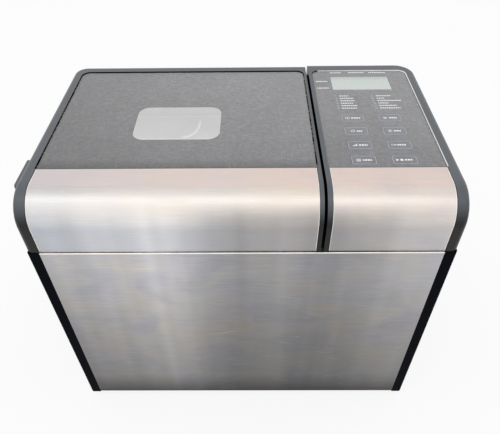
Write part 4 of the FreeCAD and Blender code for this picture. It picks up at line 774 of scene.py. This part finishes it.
class Ink:
    """A mesh of ink that stands on the control panel, with shapes in millimetres."""

    dash_lengths = (2.3, 1.5, 1.9, 1.3, 2.1)
    dash_gap = 0.55
    dash_least = 0.6
    figure_half = 0.02
    # Size of Blender's own lettering that makes a figure one unit high.
    figure_size = 1.38

    def __init__(self, lift):
        self.bm, self.low, self.high = bmesh.new(), PLATE_TOP, PLATE_TOP + lift

    def ring(self, outline, z):
        """The corners of an outline at a height."""
        return [self.bm.verts.new((x * MM, y * MM, z * MM)) for x, y in outline]

    def prism(self, outline):
        """A closed shape on an outline that runs anticlockwise."""
        low, high = self.ring(outline, self.low), self.ring(outline, self.high)
        self.bm.faces.new(high)
        self.bm.faces.new(low[::-1])
        for n in range(len(outline)):
            after = (n + 1) % len(outline)
            self.bm.faces.new((low[n], low[after], high[after], high[n]))

    def slab(self, x0, x1, y0, y1):
        """A rectangle."""
        self.prism([(x0, y0), (x1, y0), (x1, y1), (x0, y1)])

    def band(self, outer, inner, index=0):
        """A closed band between two outlines with the same number of corners."""
        rings = [self.ring(outer, self.low), self.ring(inner, self.low), self.ring(inner, self.high),
                 self.ring(outer, self.high)]
        for a, b in ((0, 3), (3, 2), (2, 1), (1, 0)):
            for n in range(len(outer)):
                after = (n + 1) % len(outer)
                face = self.bm.faces.new((rings[a][n], rings[a][after], rings[b][after], rings[b][n]))
                face.material_index = index

    def dashes(self, x0, x1, y, height, first=0):
        """A broken bar, whose pieces differ in length."""
        x, n = x0, first
        while x < x1 - self.dash_least:
            end = min(x + self.dash_lengths[n % len(self.dash_lengths)], x1)
            self.slab(x, end, y - height / 2, y + height / 2)
            x, n = end + self.dash_gap, n + 1

    def figures(self, text, x, y, height):
        """Plain figures."""
        curve = bpy.data.curves.new("figures", "FONT")
        curve.body = text
        curve.size = height * self.figure_size * MM
        curve.extrude = self.figure_half * MM
        holder = bpy.data.objects.new("figures", curve)
        mesh = bpy.data.meshes.new_from_object(holder)
        place = (x, y - height / 2, self.high - self.figure_half)
        mesh.transform(Matrix.Translation([v * MM for v in place]))
        self.bm.from_mesh(mesh)
        bpy.data.objects.remove(holder)
        bpy.data.curves.remove(curve)
        bpy.data.meshes.remove(mesh)


def loaf_mark(ink, x, y):
    """A loaf's outline with a bar in it."""
    length, height, line, half = 4.6, 3.4, 0.45, 0.2
    ink.band(rounded(x, y, length, height, 1.3), rounded(x, y, length - 2 * line, height - 2 * line, 0.9))
    ink.slab(x - half, x + half, y - 1.2, y + 0.9)


def clock_mark(ink, x, y):
    """A clock face with two hands."""
    radius, line, half = 2.1, 0.45, 0.2
    ink.band(circle(x, y, radius), circle(x, y, radius - line))
    ink.slab(x - half, x + half, y, y + 1.3)
    ink.slab(x + half, x + 1.1, y, y + 2 * half)


def steps_mark(ink, x, y):
    """Three rising columns."""
    width, pitch, rise, foot = 1.1, 1.6, 1.2, 1.8
    for n in range(3):
        left = x - 2 * width + pitch * n
        ink.slab(left, left + width, y - foot, y - foot + rise * (n + 1))


def list_mark(ink, x, y):
    """Three level bars."""
    half, thick, pitch, foot = 2.2, 0.7, 1.5, 1.9
    for n in range(3):
        low = y - foot + pitch * n
        ink.slab(x - half, x + half, low, low + thick)


def pause_mark(ink, x, y):
    """Two upright bars."""
    offset, half, rise = 0.9, 0.45, 1.7
    for middle in (x - offset, x + offset):
        ink.slab(middle - half, middle + half, y - rise, y + rise)


def lamp_mark(ink, x, y):
    """A disc with eight rays."""
    radius, near, far, half, count = 1.0, 1.4, 2.2, 0.2, 8
    ink.prism(circle(x, y, radius))
    for n in range(count):
        angle = 2 * math.pi * n / count
        out = Vector((math.cos(angle), math.sin(angle)))
        side = Vector((-out.y, out.x))
        corners = ((near, -half), (far, -half), (far, half), (near, half))
        ink.prism([Vector((x, y)) + out * a + side * b for a, b in corners])


def shades_mark(ink, x, y):
    """Three rings, each thicker than the one before."""
    radius, pitch, steps = 1.1, 2.6, 20
    for n, line in enumerate((0.324, 0.54, 0.756)):
        middle = x + pitch * (n - 1)
        ink.band(circle(middle, y, radius, steps), circle(middle, y, radius - line, steps))


def start_mark(ink, x, y):
    """A triangle and a square."""
    left, tip, rise, start, half = 3.0, 0.2, 1.7, 0.9, 1.4
    ink.prism([(x - left, y - rise), (x - tip, y), (x - left, y + rise)])
    ink.slab(x + start, x + start + 2 * half, y - half, y + half)


# Each key has a mark, the length of the bar beside it and the room from the mark's middle to the bar.
KEY_MARKS = {
    "stage_key": (loaf_mark, 9.5, 3.9),
    "time_key": (clock_mark, 5.0, 3.9),
    "level_key": (steps_mark, 8.0, 3.9),
    "menu_key": (list_mark, 8.0, 3.9),
    "pause_key": (pause_mark, 8.0, 3.9),
    "light_key": (lamp_mark, 7.0, 3.9),
    "browning_key": (shades_mark, 6.5, 3.9),
    "start_key": (start_mark, 8.5, 5.1),
}
# Bars over the display, by where each starts and ends from the display's left edge.
TOP_BARS = ((1.0, 14.0), (22.0, 41.0), (46.0, 66.0))
# Columns of the list, by the start from the display's left edge and the lengths of the rows' bars.
LIST_COLUMNS = ((0.8, (10, 15, 16, 14, 17, 16)), (40.4, (16, 9, 26, 11, 20, 22)))


def panel_marks(sizes):
    """Ink of the panel itself: bars over and beside the display and a numbered list in two columns."""
    bar, list_bar, indent = 1.9, 1.7, 4.4
    (left, front, _), (_, back, _) = box_of("display_window")
    over, below, side = back + 9.0, front - 14.2, (left - 17.6, left - 4.4)
    ink = Ink(sizes.lift / MM)
    for n, (start, end) in enumerate(TOP_BARS):
        ink.dashes(left + start, left + end, over, bar, n)
    for n, share in enumerate((0.62, 0.12)):
        ink.dashes(*side, front + (back - front) * share, bar, n)
    number = 1
    for column, (start, lengths) in enumerate(LIST_COLUMNS):
        for row, length in enumerate(lengths):
            y = below - sizes.pitch / MM * row
            ink.figures(str(number), left + start, y, sizes.digit / MM)
            first = left + start + indent + column
            ink.dashes(first, first + length, y, list_bar, row)
            number += 1
    return ink.bm


def key_marks(key, sizes):
    """Ink of a key: its outline, its mark and the bar beside it."""
    mark, bar, room = KEY_MARKS[key]
    mark_half, height, over = 2.0, 2.1, 0.4
    (x0, y0, _), (x1, y1, _) = box_of(key)
    x, y = (x0 + x1) / 2, (y0 + y1) / 2
    line, margin, corner = sizes.line / MM, sizes.margin / MM, sizes.corner / MM
    length, width = x1 - x0 - 2 * margin, y1 - y0 - 2 * margin
    ink = Ink(sizes.lift / MM)
    ink.band(rounded(x, y, length, width, corner),
             rounded(x, y, length - 2 * line, width - 2 * line, corner - line), 1)
    half = (bar + 3 * mark_half) / 2
    middle = x - half + mark_half
    mark(ink, middle, y)
    ink.dashes(middle + room, x + half + over, y, height, len(key))
    return ink.bm


class BREAD_OT_print(bpy.types.Operator):
    """Print the plain marks on the control panel and its keys"""

    bl_idname = "bread.print"
    bl_label = "Panel print"

    def execute(self, context):
        colours, sizes = context.scene.bread_colours, context.scene.bread_print
        # Ink pressed through a screen: thin, even and dull, in white and in pale blue.
        inks = [moulded_plastic(name, colour, rough=0.55, ior=1.49, grain=0.3, depth=0.05, mottle=0.04)
                for name, colour in (("White screen ink", colours.print),
                                     ("Pale blue screen ink", colours.outline))]
        piece("panel_print", panel_marks(sizes), inks[:1], "case")
        for key in KEY_MARKS:
            piece(key + "_print", key_marks(key, sizes), inks, key + "_body")
        return {"FINISHED"}


def loose_boxes(node):
    """The boxes of a node's separate solids, in millimetres."""
    bm = bmesh.new()
    bm.from_mesh(NODES[node].data)
    bmesh.ops.remove_doubles(bm, verts=bm.verts, dist=0.001 * MM)
    left, boxes = set(bm.verts), []
    while left:
        group = [left.pop()]
        for vert in group:
            for edge in vert.link_edges:
                other = edge.other_vert(vert)
                if other in left:
                    left.discard(other)
                    group.append(other)
        boxes.append([[pick(v.co[k] for v in group) / MM for k in range(3)] for pick in (min, max)])
    bm.free()
    return boxes


def screw_seats(head_height):
    """The seat of each case screw and the way its head faces: back in the rear panel, down in the base."""
    seats = []
    for low, high in loose_boxes("case_screws"):
        span = [b - a for a, b in zip(low, high)]
        # A screw runs along the side of its box that differs most from the other two.
        axis = max(range(3), key=lambda k: abs(span[k] - sorted(span)[1]))
        backwards = axis == 1
        way = [0.0, 0.0, 0.0]
        way[axis] = 1.0 if backwards else -1.0
        seat = [(a + b) / 2 for a, b in zip(low, high)]
        seat[axis] = (high if backwards else low)[axis] - way[axis] * head_height
        seats.append((seat, way))
    return seats


def repeat(name, spots, shape, sizes, material):
    """One plain mesh of copies of a shape on spots: places in millimetres and the ways their tops face."""
    mesh = bpy.data.meshes.new(name)
    mesh.from_pydata([[v * MM for v in place] for place, _ in spots], [], [])
    facing = mesh.attributes.new("facing", "FLOAT_VECTOR", "POINT")
    for n, (_, way) in enumerate(spots):
        facing.data[n].vector = way

    def copies(tree, given):
        way = add(tree, "GeometryNodeInputNamedAttribute", {"Name": "facing"}, data_type="FLOAT_VECTOR")
        turn = add(tree, "FunctionNodeAlignRotationToVector", {"Vector": way.outputs["Attribute"]}, axis="Z")
        made = add(tree, "GeometryNodeInstanceOnPoints", {
            "Points": given["Geometry"], "Instance": shape(tree, given),
            "Rotation": turn.outputs["Rotation"]})
        return made.outputs["Instances"]

    return grown(name, mesh, copies, sizes, material)


def screw_shape(tree, given):
    """A pan-head screw with a cross recess; its seat is at zero and its shank runs down."""
    narrow = add(tree, "ShaderNodeMath", {0: given["Head radius"], 1: 0.78}, operation="MULTIPLY")
    head = add(tree, "GeometryNodeMeshCone", {
        "Vertices": 32, "Side Segments": 1, "Radius Top": narrow.outputs["Value"],
        "Radius Bottom": given["Head radius"], "Depth": given["Head height"]})
    cut = add(tree, "GeometryNodeMeshBoolean", {"Mesh 1": head.outputs["Mesh"]}, operation="DIFFERENCE")
    rise = add(tree, "ShaderNodeCombineXYZ", {"Z": given["Head height"]})
    for length, width in (("Slot length", "Slot width"), ("Slot width", "Slot length")):
        size = add(tree, "ShaderNodeCombineXYZ", {
            "X": given[length], "Y": given[width], "Z": given["Head height"]})
        bar = add(tree, "GeometryNodeMeshCube", {"Size": size.outputs["Vector"]})
        raised = add(tree, "GeometryNodeTransform", {
            "Geometry": bar.outputs["Mesh"], "Translation": rise.outputs["Vector"]})
        feed(tree, cut, {"Mesh 2": raised.outputs["Geometry"]})
    shank = add(tree, "GeometryNodeMeshCylinder", {
        "Vertices": 20, "Radius": given["Shank radius"], "Depth": given["Shank length"]})
    half = add(tree, "ShaderNodeMath", {0: given["Shank length"], 1: -0.5}, operation="MULTIPLY")
    drop = add(tree, "ShaderNodeCombineXYZ", {"Z": half.outputs["Value"]})
    lowered = add(tree, "GeometryNodeTransform", {
        "Geometry": shank.outputs["Mesh"], "Translation": drop.outputs["Vector"]})
    whole = add(tree, "GeometryNodeJoinGeometry", {"Geometry": cut.outputs["Mesh"]})
    feed(tree, whole, {"Geometry": lowered.outputs["Geometry"]})
    return whole.outputs["Geometry"]


class BREAD_OT_screws(bpy.types.Operator):
    """Put cross-head screws in the places of the plain ones"""

    bl_idname = "bread.screws"
    bl_label = "Screws"

    def execute(self, context):
        sizes = context.scene.bread_screws
        # Plated steel: cold grey, with a tight sheen.
        steel = plain_metal("Zinc-plated screw steel", "#B4B6B9", rough=0.28, spot=1.5)
        bm = repeat("case_screw_heads", screw_seats(sizes.head_height / MM), screw_shape, {
            "Head radius": sizes.head_radius, "Head height": sizes.head_height,
            "Slot width": sizes.slot_width, "Slot length": sizes.slot_length,
            "Shank radius": sizes.shank_radius, "Shank length": sizes.shank_length}, steel)
        piece("case_screw_heads", bm, [steel], "case", ["case_screws"])
        return {"FINISHED"}


def white_rays(tree):
    """One for rays from the camera, straight, by a reflection or through glass, and nought for the rest."""
    path = add(tree, "ShaderNodeLightPath").outputs
    white = path["Is Camera Ray"]
    for kind in ("Is Glossy Ray", "Is Transmission Ray"):
        white = add(tree, "ShaderNodeMath", {0: white, 1: path[kind]}, operation="MAXIMUM").outputs["Value"]
    return white


def paper_floor(scene, half_width=30.0, glow_share=0.85):
    """White seamless paper, dull and even. It glows to the camera, so that its far edge doesn't show."""
    bm = bmesh.new()
    bmesh.ops.create_grid(bm, x_segments=1, y_segments=1, size=half_width)
    mesh = bpy.data.meshes.new("floor")
    bm.to_mesh(mesh)
    bm.free()
    floor = bpy.data.objects.new("floor", mesh)
    scene.collection.objects.link(floor)
    material, tree, shader, _ = new_material("White seamless paper")
    feed(tree, shader, {"Base Color": rgba("#F8F8F8"), "Roughness": 0.9})
    seen = add(tree, "ShaderNodeMath", {0: white_rays(tree), 1: glow_share}, operation="MULTIPLY")
    glow = add(tree, "ShaderNodeEmission", {"Color": rgba("#FFFFFF"), "Strength": 1.0})
    mixed = add(tree, "ShaderNodeMixShader", {
        0: seen.outputs["Value"], 1: shader.outputs["BSDF"], 2: glow.outputs["Emission"]})
    out = next(n for n in tree.nodes if n.type == "OUTPUT_MATERIAL")
    feed(tree, out, {"Surface": mixed.outputs["Shader"]})
    mesh.materials.append(material)


def even_world(scene, fill):
    """White surroundings to the camera, and an even fill to everything else."""
    world = bpy.data.worlds.new("Studio")
    scene.world = world
    world.use_nodes = True
    tree = world.node_tree
    tree.nodes.clear()
    seen = add(tree, "ShaderNodeBackground", {"Color": rgba("#FBFBFB"), "Strength": 1.0})
    even = add(tree, "ShaderNodeBackground", {"Color": rgba("#F8F8FA"), "Strength": fill})
    mixed = add(tree, "ShaderNodeMixShader", {
        0: white_rays(tree), 1: even.outputs["Background"], 2: seen.outputs["Background"]})
    add(tree, "ShaderNodeOutputWorld", {"Surface": mixed.outputs["Shader"]})


def softboxes(scene, settings):
    """Three soft lamps, each with its place, its aim and its size in metres, its power and its colour."""
    lamps = (
        ("front_softbox", (-0.5, -1.7, 1.6), (0.0, 0.0, 0.3), (3.2, 1.8), settings.key_light, "#FFFFFF"),
        ("strip_softbox", (-0.2, -0.86, 1.97), (0.0, -0.1, 0.3), (2.6, 0.46), settings.strip_light,
         "#FAFCFF"),
        ("back_softbox", (0.1, 1.3, 1.9), (0.0, 0.0, 0.3), (3.0, 1.2), settings.top_light, "#FFFCFB"),
    )
    for name, spot, aim, size, power, colour in lamps:
        lamp = bpy.data.lights.new(name, "AREA")
        lamp.shape = "RECTANGLE"
        lamp.size, lamp.size_y = size
        lamp.energy = power
        lamp.color = rgba(colour)[:3]
        made = bpy.data.objects.new(name, lamp)
        scene.collection.objects.link(made)
        made.location = spot
        made.rotation_euler = (Vector(aim) - Vector(spot)).to_track_quat("-Z", "Y").to_euler()


def photo_camera(scene, settings):
    """The camera as it stood for the photograph: in front, above and almost straight on."""
    data = bpy.data.cameras.new("camera")
    data.lens = settings.lens
    data.sensor_width = 36.0
    data.shift_y = settings.shift
    data.clip_start, data.clip_end = 0.01, 50.0
    camera = bpy.data.objects.new("camera", data)
    scene.collection.objects.link(camera)
    pitch, yaw, roll = settings.pitch, settings.yaw, settings.roll
    ahead = Vector((math.sin(yaw) * math.cos(pitch), math.cos(yaw) * math.cos(pitch), -math.sin(pitch)))
    right = Vector((math.cos(yaw), -math.sin(yaw), 0.0))
    down = ahead.cross(right)
    across = right * math.cos(roll) + down * math.sin(roll)
    below = down * math.cos(roll) - right * math.sin(roll)
    turn = Matrix((across, -below, -ahead)).transposed()
    camera.matrix_world = Matrix.Translation(settings.spot) @ turn.to_4x4()
    scene.camera = camera


class BREAD_OT_studio(bpy.types.Operator):
    """Set up the floor, the soft light and the camera"""

    bl_idname = "bread.studio"
    bl_label = "Studio"

    def execute(self, context):
        scene = context.scene
        settings = scene.bread_studio
        paper_floor(scene)
        even_world(scene, settings.fill)
        softboxes(scene, settings)
        photo_camera(scene, settings)
        scene.view_settings.view_transform = "Standard"
        return {"FINISHED"}


class BREAD_PT_panel(bpy.types.Panel):
    """Lists the steps in the sidebar"""

    bl_idname = "BREAD_PT_panel"
    bl_label = "Bread machine"
    bl_space_type = "VIEW_3D"
    bl_region_type = "UI"
    bl_category = "Bread machine"

    def draw(self, context):
        for step in STEPS:
            self.layout.operator(step.bl_idname)


GROUPS = {
    "bread_colours": FinishColours,
    "bread_print": PrintSizes,
    "bread_trim": TrimSizes,
    "bread_screws": ScrewSizes,
    "bread_studio": StudioSettings,
}
STEPS = (BREAD_OT_finishes, BREAD_OT_beads, BREAD_OT_trim, BREAD_OT_strip, BREAD_OT_print, BREAD_OT_screws,
         BREAD_OT_studio)
CLASSES = tuple(GROUPS.values()) + STEPS + (BREAD_PT_panel,)


def register():
    """Makes the classes known to Blender and gives every scene their settings."""
    for cls in CLASSES:
        bpy.utils.register_class(cls)
    for name, cls in GROUPS.items():
        setattr(bpy.types.Scene, name, bpy.props.PointerProperty(type=cls))


def unregister():
    """Takes the settings and the classes away again."""
    for name in GROUPS:
        delattr(bpy.types.Scene, name)
    for cls in reversed(CLASSES):
        bpy.utils.unregister_class(cls)


def main():
    """Runs every step in order."""
    register()
    for step in STEPS:
        group, name = step.bl_idname.split(".")
        getattr(getattr(bpy.ops, group), name)()


if __name__ == "__main__":
    main()
